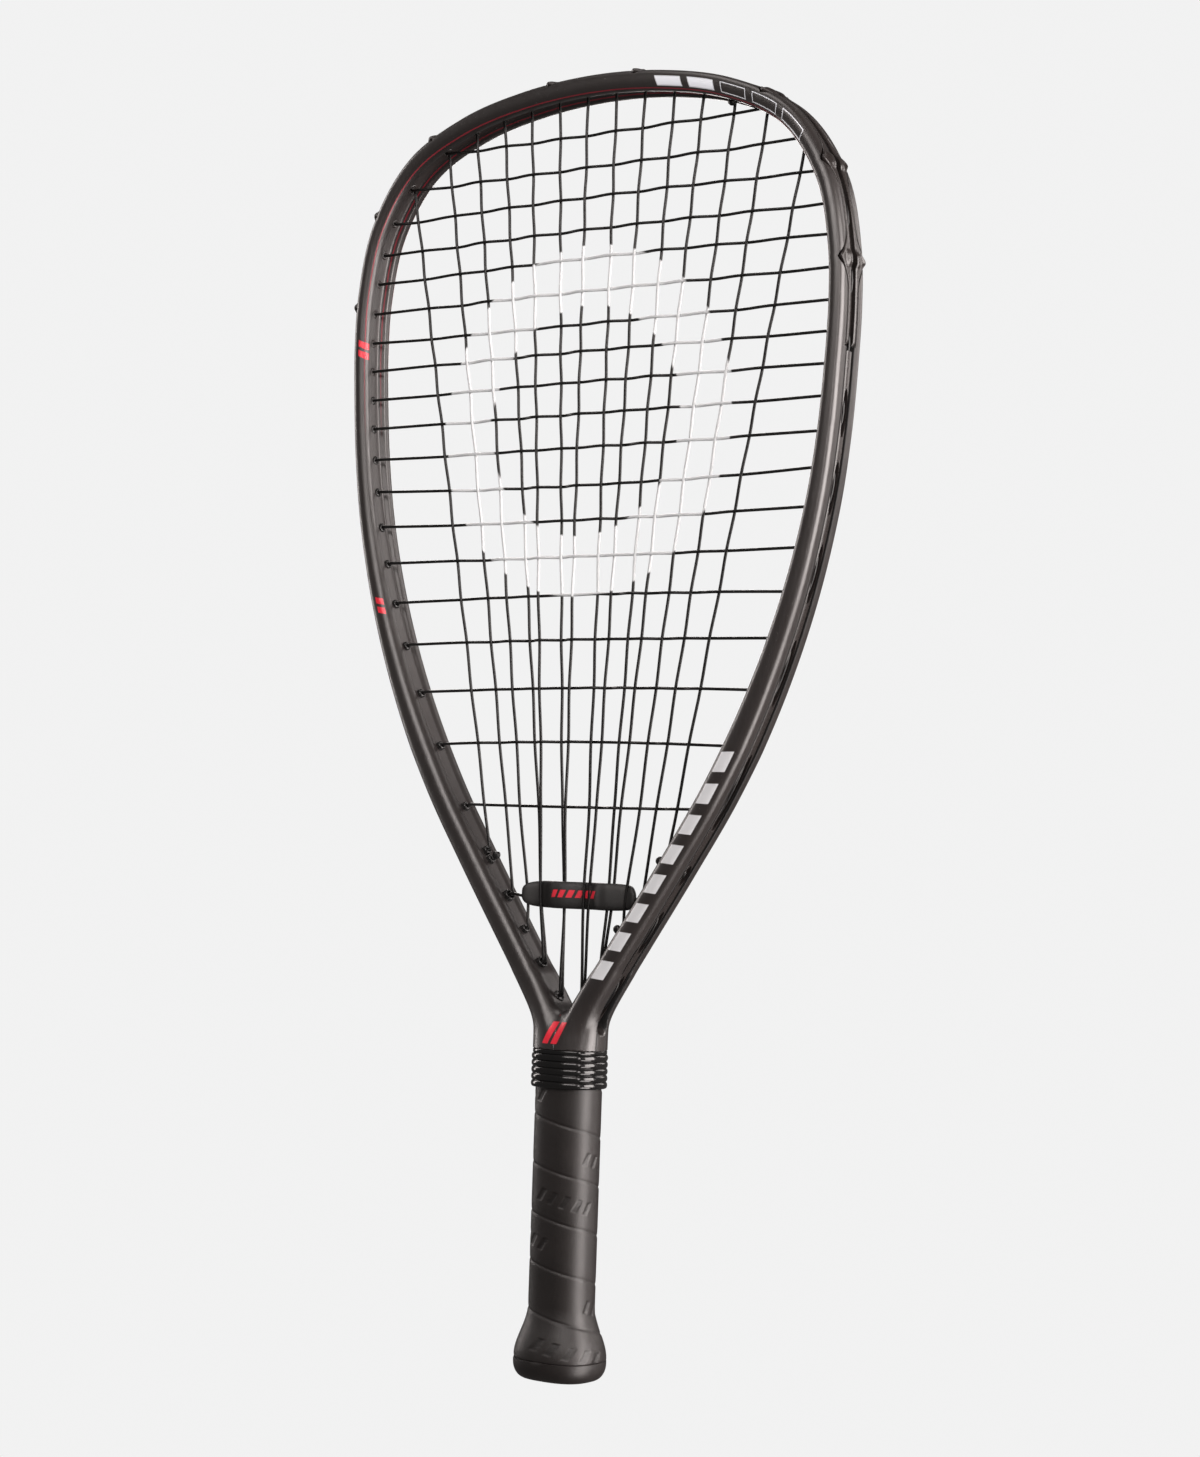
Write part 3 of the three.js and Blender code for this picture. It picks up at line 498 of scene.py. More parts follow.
# %% [markdown]
# ## Throat and shaft as one field
# The two rails flow into the handle with soft fillets, as resin and carbon do in a mould. Booleans would
# leave hard seams. Instead every form is a field, negative inside and positive outside: a smooth minimum
# joins two with a fillet, a smooth maximum cuts one with another, and the surface is where it is zero.

# %% Fields of the throat
def soft_min(a, b, k):
    """The smaller of two fields, with a fillet about k wide where they are close."""
    h = np.clip(0.5 + 0.5 * (b - a) / k, 0, 1)
    return b + (a - b) * h - k * h * (1 - h)


def soft_max(a, b, k):
    return -soft_min(-a, -b, k)


def superellipse(a, b, power):
    """-1 in its middle and 0 on it: (a^p + b^p)^(1/p) - 1."""
    return (a ** power + b ** power) ** (1 / power) - 1


def rail_coordinates(x, z, until=120.0):
    """Distance along and outwards from the left rail's inner edge, straight on below its start."""
    s = np.arange(-60, until, 3.0)
    px, pz, nx, nz = hoop_at(np.maximum(s, 0))
    px, pz = px + nz * np.minimum(s, 0), pz - nx * np.minimum(s, 0)
    dx, dz = x.reshape(-1, 1) - px, z.reshape(-1, 1) - pz
    near = np.argmin(dx ** 2 + dz ** 2, axis=1)
    nearest = np.arange(len(near)), near
    dx, dz = dx[nearest], dz[nearest]
    along = s[near] + dx * nz[near] - dz * nx[near]
    return along.reshape(x.shape), (dx * nx[near] + dz * nz[near]).reshape(x.shape)


STRAIGHT = RAIL_HALF_DEPTH - CROWN


def channel(y):
    """Share of the inner channel's depth at a depth y: 1 in its floor, 0 from its rim."""
    return 1 - smooth(3.0, 4.8, np.abs(y))


def rail_field(s, n, y):
    """A bar with straight sides and superellipse crowns, hollowed by the channel on its inside."""
    hollow = 0.6 * channel(y) * smooth(8, 30, s) * (1 - smooth(0, 5, n))
    across = np.abs(n - hollow - RAIL_THROAT / 2) / (RAIL_THROAT / 2)
    deep = np.maximum(np.abs(y) - STRAIGHT, 0) / CROWN
    return superellipse(across, deep, 2.4) * RAIL_THROAT / 2


def yoke_sizes():
    """Heights, half widths and half depths of the handle, from the foot to the yoke's top."""
    share = np.linspace(0, 1, 24)
    height = NECK + (11 + YOKE_RISE) * share
    _, _, nx, nz = hoop_at(0.0)
    lean = np.arctan2(-nz, -nx)
    reach = lambda z: (z - TIP) * np.tan(lean) + RAIL_THROAT / np.cos(lean)
    merge = lambda r: (NECK_SIZE[0] + r + np.hypot(NECK_SIZE[0] - r, 5)) / 2
    width = merge(reach(height)) - (merge(reach(NECK)) - NECK_SIZE[0]) * (1 - share) - 1.2 * share ** 2
    depth = NECK_SIZE[1] + (YOKE_DEPTH - NECK_SIZE[1]) * share
    return (np.r_[0, GRIP_TOP + GAP, COLLAR_TOP + GAP, height],
            np.r_[SHAFT[0], SHAFT[0], SEAT[0], width], np.r_[SHAFT[1], SHAFT[1], SEAT[1], depth])


YOKE = yoke_sizes()


def throat_field(p):
    """Handle, less the open head, joined to both rails, less the groove."""
    x, y, z = p
    wide, deep = np.interp(z, YOKE[0], YOKE[1]), np.interp(z, YOKE[0], YOKE[2])
    handle = superellipse(np.abs(x) / wide, np.abs(y) / deep, 2.6) * deep
    handle = soft_max(handle, z - NECK - 11 - YOKE_RISE, 4)
    (s_left, n_left), (s_right, n_right) = rail_coordinates(x, z), rail_coordinates(-x, z)
    bevel = np.maximum(np.abs(y) - STRAIGHT, 0) * 0.64
    outwards = soft_max(n_left, n_right, 9)
    handle = soft_max(handle, bevel - outwards, 2.5)
    rails = soft_max(rail_field(np.where(x < 0, s_left, s_right), outwards, y), NECK + 2 - z, 4)
    body = soft_min(handle, rails, 3)
    for s, n in ((s_left, n_left), (s_right, n_right)):
        groove = np.hypot(np.minimum(s - GROOVE_FROM, 0), y) - GROOVE_HALF
        body = soft_max(body, -soft_max(groove, RAIL_THROAT - GROOVE_DEPTH - n, 0.5), 0.6)
    return soft_max(body, 4.3 - z, 0.5)


# %% [markdown]
# ## From a field to a mesh
# Surface nets put one vertex in each cell of a grid that the surface crosses, at the mean of the
# crossings on its edges, and one face round each crossed edge. The vertices then slide along the field's
# slope until the field is zero, which takes the grid's steps out of the shading.

# %% Surface nets
def surface_net(field, low, high, step):
    """Points and outward faces of the zero level of field(p) in a box."""
    axes = [np.arange(a, b + step, step) for a, b in zip(low, high)]
    value = field(np.stack(np.meshgrid(*axes, indexing="ij")))
    cells = np.array(value.shape) - 1
    total, count, quads = np.zeros((3, *cells)), np.zeros(cells), []
    for axis in range(3):
        a, b = (value[tuple(end if k == axis else slice(1, -1) for k in range(3))]
                for end in (slice(0, -1), slice(1, None)))
        crossed = (a < 0) != (b < 0)
        others = [k for k in range(3) if k != axis]
        start = np.argwhere(crossed)
        start[:, others] += 1
        point = np.stack([axes[k][start[:, k]] for k in range(3)])
        point[axis] += (a / (a - b + 1e-12))[crossed] * step
        corners = []
        for back in ((0, 0), (1, 0), (1, 1), (0, 1)):
            cell = start.copy()
            cell[:, others] -= back
            index = tuple(cell.T)
            for k in range(3):
                np.add.at(total[k], index, point[k])
            np.add.at(count, index, 1)
            corners.append(np.ravel_multi_index(index, cells))
        quad = np.stack(corners, 1)
        flip = (a < 0)[crossed] == (axis != 1)
        quad[~flip] = quad[~flip][:, ::-1]
        quads.append(quad)
    used = np.flatnonzero(count)
    number = np.full(count.size, -1)
    number[used] = np.arange(len(used))
    return (total.reshape(3, -1)[:, used] / count.ravel()[used]).T, number[np.concatenate(quads)]


def settle(points, field, rounds=3, delta=0.02):
    """Slides points along the field's slope on to its zero level, by at most 0.3 mm a round."""
    for _ in range(rounds):
        value = field(points.T)
        slopes = np.stack([field((points + delta * axis).T) - value for axis in np.eye(3)], 1) / delta
        size = (slopes ** 2).sum(1)
        points = points - slopes * (np.clip(value, -0.3, 0.3) / np.maximum(size, 0.3))[:, None]
    return points


# %% [markdown]
# ## String holes
# Fourteen mains and twenty crosses pass through the rail. A hole sits where its string meets the hoop,
# and a few wide holes take two strings. A cross has one height in its middle and one at its ends.

# %% Holes
ROW_LEVELS = np.array([
    [532.2, 532.7], [518.0, 518.2], [505.0, 503.8], [490.9, 490.0], [478.5, 477.1], [464.2, 463.6],
    [449.9, 450.3], [438.1, 437.4], [424.9, 424.2], [411.0, 411.1], [396.5, 396.9], [380.0, 382.2],
    [365.1, 366.2], [349.4, 349.6], [332.9, 331.6], [313.6, 312.7], [292.8, 291.5], [269.7, 268.4],
    [241.8, 242.0]])


def grommet_tip(s):
    """Distance outwards of a grommet's tip: 2.1 mm at the top, and -1.3 at the throat."""
    return 2.1 - 3.4 * growth(hoop_at(s)[1])


def at_level(level):
    """Distance along the left half where a string of this height bends at its tip."""
    return first_where(half_z + half_nz * (grommet_tip(half_s) - STRING) >= level)


holes = []


def add_pair(s, wide_left, wide_right=None):
    """A hole and its mirror on the right, each with its tip and the rail's width there."""
    wides = wide_left, wide_left if wide_right is None else wide_right
    pair = [{"s": at, "wide": wide, "tip": float(grommet_tip(at)), "width": float(rail_width(at))}
            for at, wide in zip((s, TOTAL - s), wides)]
    holes.extend(pair)
    return pair


throat_step = [at_level(height_share(0.0298 + k * 0.03525)) for k in range(4)]
rows = [add_pair(at_level(end), k < 2) for k, (_, end) in enumerate(ROW_LEVELS)]
rows.append(add_pair(throat_step[3], True))
ROW_LEVELS = np.r_[ROW_LEVELS, [[hoop_at(throat_step[3])[1]] * 2]]
LOWEST = len(rows) - 1
spacing = 0.1239 * HALF_WIDTH
tops = rows[1::-1] + [add_pair(over_top(-(6.5 - i) * spacing), False, i == 2) for i in range(2, 7)]
last_foot = at_level(height_share(0.1838))
tie_off = add_pair(last_foot - 4.6, False)
feet = [add_pair(last_foot, False), rows[LOWEST], add_pair(throat_step[2], False, True),
        add_pair(throat_step[1], True), add_pair(throat_step[0], True)]
feet = [feet[k] for k in (0, 1, 2, 3, 3, 4, 4)]
main_tops, main_feet = ([left for left, _ in ends] + [right for _, right in ends[::-1]]
                        for ends in (tops, feet))
MAINS = range(len(main_tops))
print(len(holes), "string holes")

# %% [markdown]
# ## The hoop's rail
# The rail is one profile carried along the path: a crowned front and back, a shallow channel on the
# inside where the grommets come out, and a groove on the outside for the string. It is set back under the
# bumper guard, whose edge is a wave between its tabs, so that wave is defined here too.

# %% Rail profile
GROOVE_FROM = main_feet[6]["s"] - 4.6
GUARD_FROM = at_height(height_share(0.7075))
GUARD_TO = TOTAL - GUARD_FROM


def crown(width, share, lift=0.0):
    """Half of a rounded face: share 0 is the inner edge and 1 the outer; returns n and depth."""
    n = width / 2 - (width / 2 + lift) * rounded(np.cos(share * np.pi), 2 / 2.4)
    return n, STRAIGHT + (CROWN + lift) * rounded(np.sin(share * np.pi), 2 / 2.4)


SHARE_TABLE = np.linspace(1, 0, 400)
ROUND_TABLE = np.r_[0, np.cumsum(np.hypot(*(np.diff(v) for v in crown(8.0, SHARE_TABLE))))]
FLAT = STRAIGHT - GROOVE_HALF
FAR = FLAT + ROUND_TABLE[-1]


def outside(u, width, lift=0.0):
    """The outside at a distance u from the groove: a flat side, then round the crown."""
    n, y = crown(width, np.interp(u - FLAT, ROUND_TABLE, SHARE_TABLE), lift)
    return n, y - np.maximum(FLAT - u, 0)


TABS = [at_height(height_share(h)) for h in (0.793, 0.8892, 0.9592)] + [over_top(-0.1805 * HALF_WIDTH)]
TABS = np.array(sorted(TABS + [TOTAL - s for s in TABS]))


def guard_reach(s):
    """Distance to the nearest tab, and the flange's reach, which two bells swell at a tab."""
    near = np.abs(s - TABS).min(1, keepdims=True)
    return near, 0.6 + 4.2 * np.exp(-(near / 6.0) ** 2) + 1.6 * np.exp(-(near / 2.0) ** 2)


def rail_rings(s):
    """Rings: front crown, outer side with its groove, back crown, inner side with its channel."""
    width, hollow = rail_width(s), 2.4 - 1.8 * growth(hoop_at(s)[1])
    under = smooth(GUARD_FROM - 0.7, GUARD_FROM - 0.3, s) * (1 - smooth(GUARD_TO + 0.3, GUARD_TO + 0.7, s))
    reach = guard_reach(s)[1] + GAP
    share = (1 - np.cos(np.linspace(0, np.pi, 24))) / 2
    u = np.c_[FAR + (reach + 0.4 - FAR) * share, reach + 0.2, reach + 0.05, reach * np.linspace(0.9, 0, 5)]
    sunk = np.r_[np.zeros(24), 0.35, 0.8, np.ones(5)]
    n_face, y_face = outside(u, width, -GUARD_INSET * under * sunk)
    n_wall = width - [2.5, GROOVE_DEPTH, GROOVE_DEPTH, GROOVE_DEPTH]
    y_wall = 0 * width + [GROOVE_HALF - 0.02, 2.8, 1.4, 0]
    floor = np.linspace(5.2, -5.2, 27)
    n = np.c_[n_face, n_wall, n_wall[:, -2::-1], n_face[:, ::-1], hollow * channel(floor)]
    y = np.c_[-y_face, -y_wall, y_wall[:, -2::-1], y_face[:, ::-1], 0 * width + floor]
    return place(s, n, y)


# %% [markdown]
# ## The frame in one piece
# The throat's net and the swept rail meet on each side where both have the same section. The net is cut
# square to the rail there, and a narrow band of faces bridges it to the sweep, so the moulding is one
# closed surface, as it is in carbon.

# %% Frame moulding
JOIN_HEIGHT, JOIN_BAND = 189, 0.7


def add_faces(bm, points, faces):
    corners = [bm.verts.new(p) for p in points.tolist()]
    for face in faces.tolist():
        bm.faces.new([corners[i] for i in face])


def frame_shape(step=0.8):
    """The net and the sweep, trimmed square to each rail and bridged by a narrow band."""
    points, faces = surface_net(throat_field, (-46.2, -14.2, 2.6), (46.2, 14.2, 206), step)
    keep = points[faces].max(1)[:, 2] < 204
    cut = at_height(JOIN_HEIGHT)
    bm = bmesh.new()
    add_faces(bm, settle(points, throat_field), faces[keep])
    for s, sign in ((cut, 1), (TOTAL - cut, -1)):
        x, z, nx, nz = (float(v) for v in hoop_at(s))
        bmesh.ops.bisect_plane(bm, geom=[*bm.verts, *bm.edges, *bm.faces], dist=1e-4, plane_co=(x, 0, z),
                               plane_no=(sign * nz, 0, -sign * nx), clear_outer=True)
    bmesh.ops.delete(bm, geom=[v for v in bm.verts if not v.link_faces], context="VERTS")
    extra = [g + np.linspace(-1, 1, 9) for g in (GUARD_FROM - 0.5, GUARD_TO + 0.5)]
    s = np.sort(np.r_[np.linspace(cut + JOIN_BAND, TOTAL - cut - JOIN_BAND, 640), *extra])
    rings = rail_rings(s[:, None])
    swept = rings.reshape(-1, 3)
    add_faces(bm, swept, facing_out(swept, grid_faces(*rings.shape[:2])))
    open_edges = [e for e in bm.edges if len(e.link_faces) == 1]
    for side in (-1, 1):
        bmesh.ops.bridge_loops(bm, edges=[e for e in open_edges if e.verts[0].co.x * side > 0])
    bmesh.ops.triangulate(bm, faces=[f for f in bm.faces if len(f.verts) > 4])
    bm.verts.index_update()
    corners = np.array([v.co[:] for v in bm.verts])
    quads = np.array([([v.index for v in f.verts] + [f.verts[-1].index])[:4] for f in bm.faces])
    bm.free()
    print("frame net and sweep:", len(corners) - len(swept), len(swept), "points")
    return corners, quads


def rail_attribute(points):
    """Distance along, outwards and deep of every point, in eight shares to save memory."""
    shares = [rail_coordinates(-np.abs(p[:, 0]), p[:, 2], TOTAL / 2 + 3) for p in np.array_split(points, 8)]
    s, n = np.concatenate(shares, 1)
    return stacked(np.where(points[:, 0] < 0, s, TOTAL - s), n, points[:, 1])


frame_mesh = frame_shape()

# %% [markdown]
# ## Bumper guard
# A soft plastic guard takes the knocks when the racket scrapes a wall. Its two flanges wrap the rail's
# outer half, scalloped between small raised tabs, and its middle is a trough over the string holes. It is
# one profile again, whose edge and thickness change on the way.

# %% Bumper guard
def guard_rings(s):
    """Rings: the outer face from the front edge over the trough to the back, then the inner."""
    width, (near, reach) = rail_width(s), guard_reach(s)
    end = smooth(0, 1.2, np.minimum(s - GUARD_FROM, GUARD_TO - s))
    u = reach * (1 - np.linspace(0, 1, 26) ** 1.5)
    away = reach - u
    rim = np.sqrt(1 - (1 - np.clip(away / 0.5, 0, 1)) ** 2)
    nub, ridge = np.exp(-((away - 0.9) / 0.8) ** 2), 1 - smooth(0.8, 3.0, u)
    hump = np.exp(-(near / 1.9) ** 2) * nub * 1.1 + 1.03 * np.exp(-(near / 2.8) ** 4) * ridge
    n_out, y_out = outside(u, width, -1.0 + (1.12 * rim + hump) * (0.4 + 0.6 * end))
    n_in, y_in = outside(u[:, ::5], width, -GUARD_INSET + 0.15)
    floor, brim = width - GROOVE_DEPTH + GAP, n_out[:, -1:]
    outer_n = np.c_[n_out, brim, brim - 0.25, floor + 0.9, floor + 0.9]
    outer_y = np.c_[y_out, 0 * width + [2.1, 1.8, 1.8, 0.9]]
    inner_n = np.c_[floor, n_in[:, -1:], n_in[:, ::-1]]
    inner_y = np.c_[0 * width + [GROOVE_HALF - GAP] * 2, y_in[:, ::-1]]
    n = np.c_[outer_n, outer_n[:, ::-1], inner_n[:, ::-1], inner_n]
    y = np.c_[-outer_y, outer_y[:, ::-1], inner_y[:, ::-1], -inner_y]
    return place(s, n, y)


near_tabs = (TABS[:, None] + np.linspace(-6, 6, 15)).ravel()
guard_s = np.sort(np.r_[np.linspace(GUARD_FROM, GUARD_TO, 420), near_tabs])[:, None]
print("guard from", round(GUARD_FROM), "to", round(GUARD_TO), "mm along, in", len(guard_s), "rings")

# %% [markdown]
# ## Grommets
# Each grommet is a small plastic tube that keeps the string off the carbon: a profile turned about the
# hole's own axis, with a rounded lip inside the hoop. Below the guard a strip fills the groove, with a
# lens-shaped pocket wherever the string lies in it.

# %% Grommets
def about_hole(hole, n, radius, turn, deep=0.0):
    """Circles square to a hole's axis, n outwards along it."""
    x, z, nx, nz = hoop_at(hole["s"])
    across = radius * np.cos(turn)
    return stacked(x + nx * n + nz * across, deep + radius * np.sin(turn), z + nz * n - nx * across)


def grommet(hole):
    """A tube turned about the hole's axis, from the groove to the tip, with a rounded lip."""
    bore, outer = (1.75, 2.65) if hole["wide"] else (0.85, 2.0)
    tip, root = hole["tip"], hole["width"] - 2.1
    lip = np.linspace(-np.pi / 2, np.pi / 2, 7)
    middle, half = (bore + outer) / 2, (outer - bore) / 2
    radius = np.r_[outer + 0.35, outer, middle - half * np.sin(lip), bore, bore]
    n = np.r_[root, tip + 0.9, tip + half * (1 - np.cos(lip)), tip + 1.2, root]
    return closed(about_hole(hole, n[:, None], radius[:, None], circle(18)), loop=True)


def strip_shape(s_from, s_to, loops):
    """The strip in the groove, hollowed by a lens-shaped pocket at each loop of string."""
    s = np.linspace(s_from, s_to, 620)[:, None]
    width, (low, high) = rail_width(s), np.sort(loops).T
    lens = (s - (low + high) / 2) / ((high - low) / 2 + 2.6)
    lens = np.sqrt(np.clip(1 - lens ** 2, 0, 1)).max(1, keepdims=True)
    pocket = 0.05 + 1.65 * lens
    columns = pocket * [0, 0.6, 0.9, 1, 1, 0, 0, 0] + [0, 0, 0, 0, 0.08, 1.82, 2.0, 2.1]
    deep = 1.45 * smooth(0, 0.35, lens) * [1, 1, 0.95, 0.25, -0.06, 0, 0, 0]
    top = width - 0.22 - deep - [0, 0, 0, 0, 0, 0, 0.12, 0.5]
    floor = width - GROOVE_DEPTH + GAP
    n = np.c_[top[:, ::-1], top[:, 1:], floor, floor]
    y = np.c_[-columns[:, ::-1], columns[:, 1:], 0 * width + [2.1, -2.1]]
    return closed(place(s, n, y))


# %% [markdown]
# ## Strings
# Two strings make the bed. The crosses go over and under the mains, and both bend at each crossing, which
# gives a strung face its slight zigzag. Each string's path is worked out as points, then a round tube is
# carried along it. An end of a stretch is a hole and a lane, since a wide hole holds two strings.

# %% String paths
ORDER = [0, 1, 2, 3, 5, 4, 6, 7, 9, 8, 10, 11, 12, 13]
LANE = 0.95


def near_tip(hole, lane, past=-STRING):
    """A point on the hole's axis, past its tip: by default where the string bends round it."""
    return place(hole["s"], hole["tip"] + past, lane)


def knot_end(hole, lane):
    return near_tip(hole, lane, np.array([-1.2, 1.5]))


STRIP_FLOOR, LOOP_GAP, LOOP_DIP = 0.9, 0.1, 1.2


def loop_path(start, end):
    """The stretch outside the rail between two holes, lying in the groove."""
    (a, lane_a), (b, lane_b) = start, end
    s = np.linspace(a["s"], b["s"], max(4, int(abs(a["s"] - b["s"]) / 2.5)))
    share = (s - a["s"]) / (b["s"] - a["s"])
    swell = np.sin(np.pi * share) ** 0.5
    n = rail_width(s) - GROOVE_DEPTH + GAP + STRIP_FLOOR + STRING + LOOP_GAP - LOOP_DIP * (1 - swell)
    return place(s, n, lane_a + (lane_b - lane_a) * share)


def end_in(hole, side):
    """A hole and its lane: back for side 1 and front for -1, if it is wide."""
    return hole, side * LANE if hole["wide"] else 0.0


foot = [end_in(hole, -1 if i in (4, 6, 7, 9) else 1) for i, hole in enumerate(main_feet)]
top = [end_in(hole, 1) for hole in main_tops]
main_low, main_high = (np.array([near_tip(*end) for end in ends]) for ends in (foot, top))


def main_at(i, z):
    """Where main i is at height z, on the straight line between its bends."""
    share = (z - main_low[i, 2]) / (main_high[i, 2] - main_low[i, 2])
    return main_low[i] + (main_high[i] - main_low[i]) * np.asarray(share)[..., None]


def main_x(i, z):
    return float(main_at(i, z)[0])


reach_of = [abs(near_tip(pair[0], 0)[0]) for pair in rows]


def row_level(k, x):
    """Height of cross k at x: it bows a little between its middle and its ends."""
    middle, end = ROW_LEVELS[k]
    return middle + (end - middle) * (x / reach_of[k]) ** 2


def meetings(k):
    """The mains that cross k meets, as (number, x)."""
    level = ROW_LEVELS[k, 0]
    return [(i, main_x(i, level)) for i in MAINS
            if main_low[i, 2] < level < main_high[i, 2] and abs(main_x(i, level)) < reach_of[k] - 2]


def throat_ways():
    """Way of each main at the lowest cross: it alternates, but close pairs count as one."""
    gaps = np.diff([main_x(i, ROW_LEVELS[LOWEST, 0]) for i in MAINS])
    group = np.r_[0, np.cumsum(gaps > 3)]
    return np.where((group - group[3]) % 2 == 0, 1.0, -1.0)


crossings = [meetings(k) for k in range(len(rows))]
THROAT_WAY = throat_ways()
SWAY, CROSS_PUSH, MAIN_SWAY, MAIN_PUSH = 1.9, 1.02, 1.3, 0.34


def over(i, k):
    """+1 where cross k passes behind main i, and -1 where it passes in front."""
    return float(THROAT_WAY[i]) if k == LOWEST else 1.0 if (i + k) % 2 == 0 else -1.0


def eased(pairs, query):
    """Through the (place, value) pairs with flat tops: half a cosine from each to the next."""
    at, value = np.array(pairs).T
    step = np.clip(np.searchsorted(at, query, side="right") - 1, 0, len(at) - 2)
    t = np.clip((query - at[step]) / (at[step + 1] - at[step]), 0, 1)
    return value[step] + (value[step + 1] - value[step]) * (1 - np.cos(np.pi * t)) / 2


def main_stretch(i):
    """A main from its foot to its top, pushed forwards and back by the crosses."""
    z = np.linspace(main_low[i, 2], main_high[i, 2], 150)
    points = main_at(i, z)
    met = sorted((row_level(k, x), -over(i, k) * (MAIN_SWAY if k == LOWEST else MAIN_PUSH))
                 for k, met in enumerate(crossings) for j, x in met if j == i)
    points[:, 1] += eased([(z[0], 0), *met, (z[-1], 0)], z)
    return points


def cross_stretch(k, start, end):
    """A cross from one hole to the other, over and under the mains."""
    sign = -1 if start[0] > end[0] else 1
    size = SWAY if k == LOWEST else CROSS_PUSH
    met = sorted((sign * x, main_at(i, ROW_LEVELS[k, 0])[1] + size * over(i, k)) for i, x in crossings[k])
    x = np.linspace(start[0], end[0], 120)
    depth = eased([(sign * start[0], start[1]), *met, (sign * end[0], end[1])], sign * x)
    level = row_level(k, x)
    lifts = (x[0], start[2] - level[0]), (x[-1], end[2] - level[-1])
    level = level + sum(lift * (1 - smooth(0, 12, np.abs(x - near))) for near, lift in lifts)
    return stacked(x, depth, level)


def main_path():
    """Up and down the head in its own order, with a tie-off at each end."""
    first, last = ((hole, 0) for hole in tie_off)
    path = [knot_end(*first), loop_path(first, foot[0])]
    for n, i in enumerate(ORDER):
        ends = top if n % 2 else foot
        if n:
            path.append(loop_path(ends[ORDER[n - 1]], ends[i]))
        path.append(main_stretch(i)[::-1 if n % 2 else 1])
    return np.concatenate(path + [loop_path(foot[13], last), knot_end(*last)[::-1]])


CROSS_ENDS = end_in(main_tops[11], -1), end_in(main_feet[11], -1)


def cross_path():
    """From side to side down the head, between its two tie-offs."""
    last, end = CROSS_ENDS
    path = [knot_end(*last)]
    for k, pair in enumerate(rows):
        a, b = (end_in(hole, -1) for hole in (pair if k % 2 else pair[::-1]))
        path += [loop_path(last, a), cross_stretch(k, near_tip(*a), near_tip(*b))]
        last = b
    return np.concatenate(path + [loop_path(last, end), knot_end(*end)[::-1]])


cross_loops = [(rows[k][k % 2]["s"], rows[k + 1][k % 2]["s"]) for k in range(LOWEST)]
foot_loops = [(main_feet[i]["s"], main_feet[j]["s"]) for i, j in zip(ORDER[1::2], ORDER[2::2])]
LOOPS = cross_loops + foot_loops + [(tie_off[k]["s"], main_feet[13 * k]["s"]) for k in (0, 1)]
print(len(LOOPS), "loops in the groove")


def tube(path, radius, sides=10):
    """Circles square to the path, turned by the depth axis, which no string runs along."""
    ahead = np.gradient(path, axis=0)
    ahead /= np.linalg.norm(ahead, axis=1, keepdims=True)
    side = np.cross([0, 1, 0], ahead)
    side /= np.linalg.norm(side, axis=1, keepdims=True)
    t = circle(sides)[None, :, None]
    ring = np.cos(t) * side[:, None] + np.sin(t) * np.cross(ahead, side)[:, None]
    return closed(path[:, None] + radius * ring)


def knot(hole, lane):
    """A knot against the grommet's lip: a sphere's profile, flattened and lobed."""
    t = np.linspace(0.05, np.pi - 0.05, 12)[:, None]
    turn = circle(16)
    radius = 1.75 * np.sin(t) * (1 + 0.12 * np.sin(3 * turn + 2 * t))
    return closed(about_hole(hole, hole["tip"] - 2.3 + 1.9 * np.cos(t), radius, turn, lane))


# %% [markdown]
# ## Damper
# A soft rubber bar is threaded through the mains to quieten them, behind some and in front of others.

# %% Damper
DAMPER_HALF = 0.2412 * HALF_WIDTH, 2.7, 5.8
DAMPER_MIDDLE = 0.018 * HALF_WIDTH


def damper_shape():
    """A bar along x that sways between the strings; a rounded slab that closes at its ends."""
    level = near_tip(rows[LOWEST][0], 0)[2] + 0.3
    half_length, half_depth, half_height = DAMPER_HALF
    e = np.sin(np.linspace(-np.pi / 2, np.pi / 2, 160))
    x = DAMPER_MIDDLE + e * half_length
    fade = ((1 - np.abs(e) ** 9) ** 0.36)[:, None]
    threaded = [(main_x(i, level), SWAY * THROAT_WAY[i]) for i in MAINS
                if abs(main_x(i, level) - DAMPER_MIDDLE) < half_length]
    sway = eased([(x[0], 0), *threaded, (x[-1], 0)], x)
    deep = half_depth * (0.35 + 0.65 * fade) * fade * rounded(np.cos(circle(40)), 0.62)
    high = half_height * (0.5 + 0.5 * fade) * fade * rounded(np.sin(circle(40)), 0.62)
    return closed(stacked(x[:, None], sway[:, None] + deep, level + high))


# %% [markdown]
# ## Handle: collar, grip and butt
# All three are stacks of one section, a circle squared off into a superellipse. The collar is a ribbed
# rubber band. The grip is a strip wound up the handle, so its surface steps once per turn along a helix,
# and short strokes are pressed into it. The butt is a moulded cap with a lanyard hole.

# %% Handle sections
def section(half_width, half_depth, height, sides=120, power=2.6):
    """Superellipse rings: |x/a|^p + |y/b|^p = 1 at each height."""
    t = circle(sides)
    a, b, z = (np.asarray(v, float)[:, None] for v in (half_width, half_depth, height))
    return stacked(a * rounded(np.cos(t), 2 / power), b * rounded(np.sin(t), 2 / power), z)


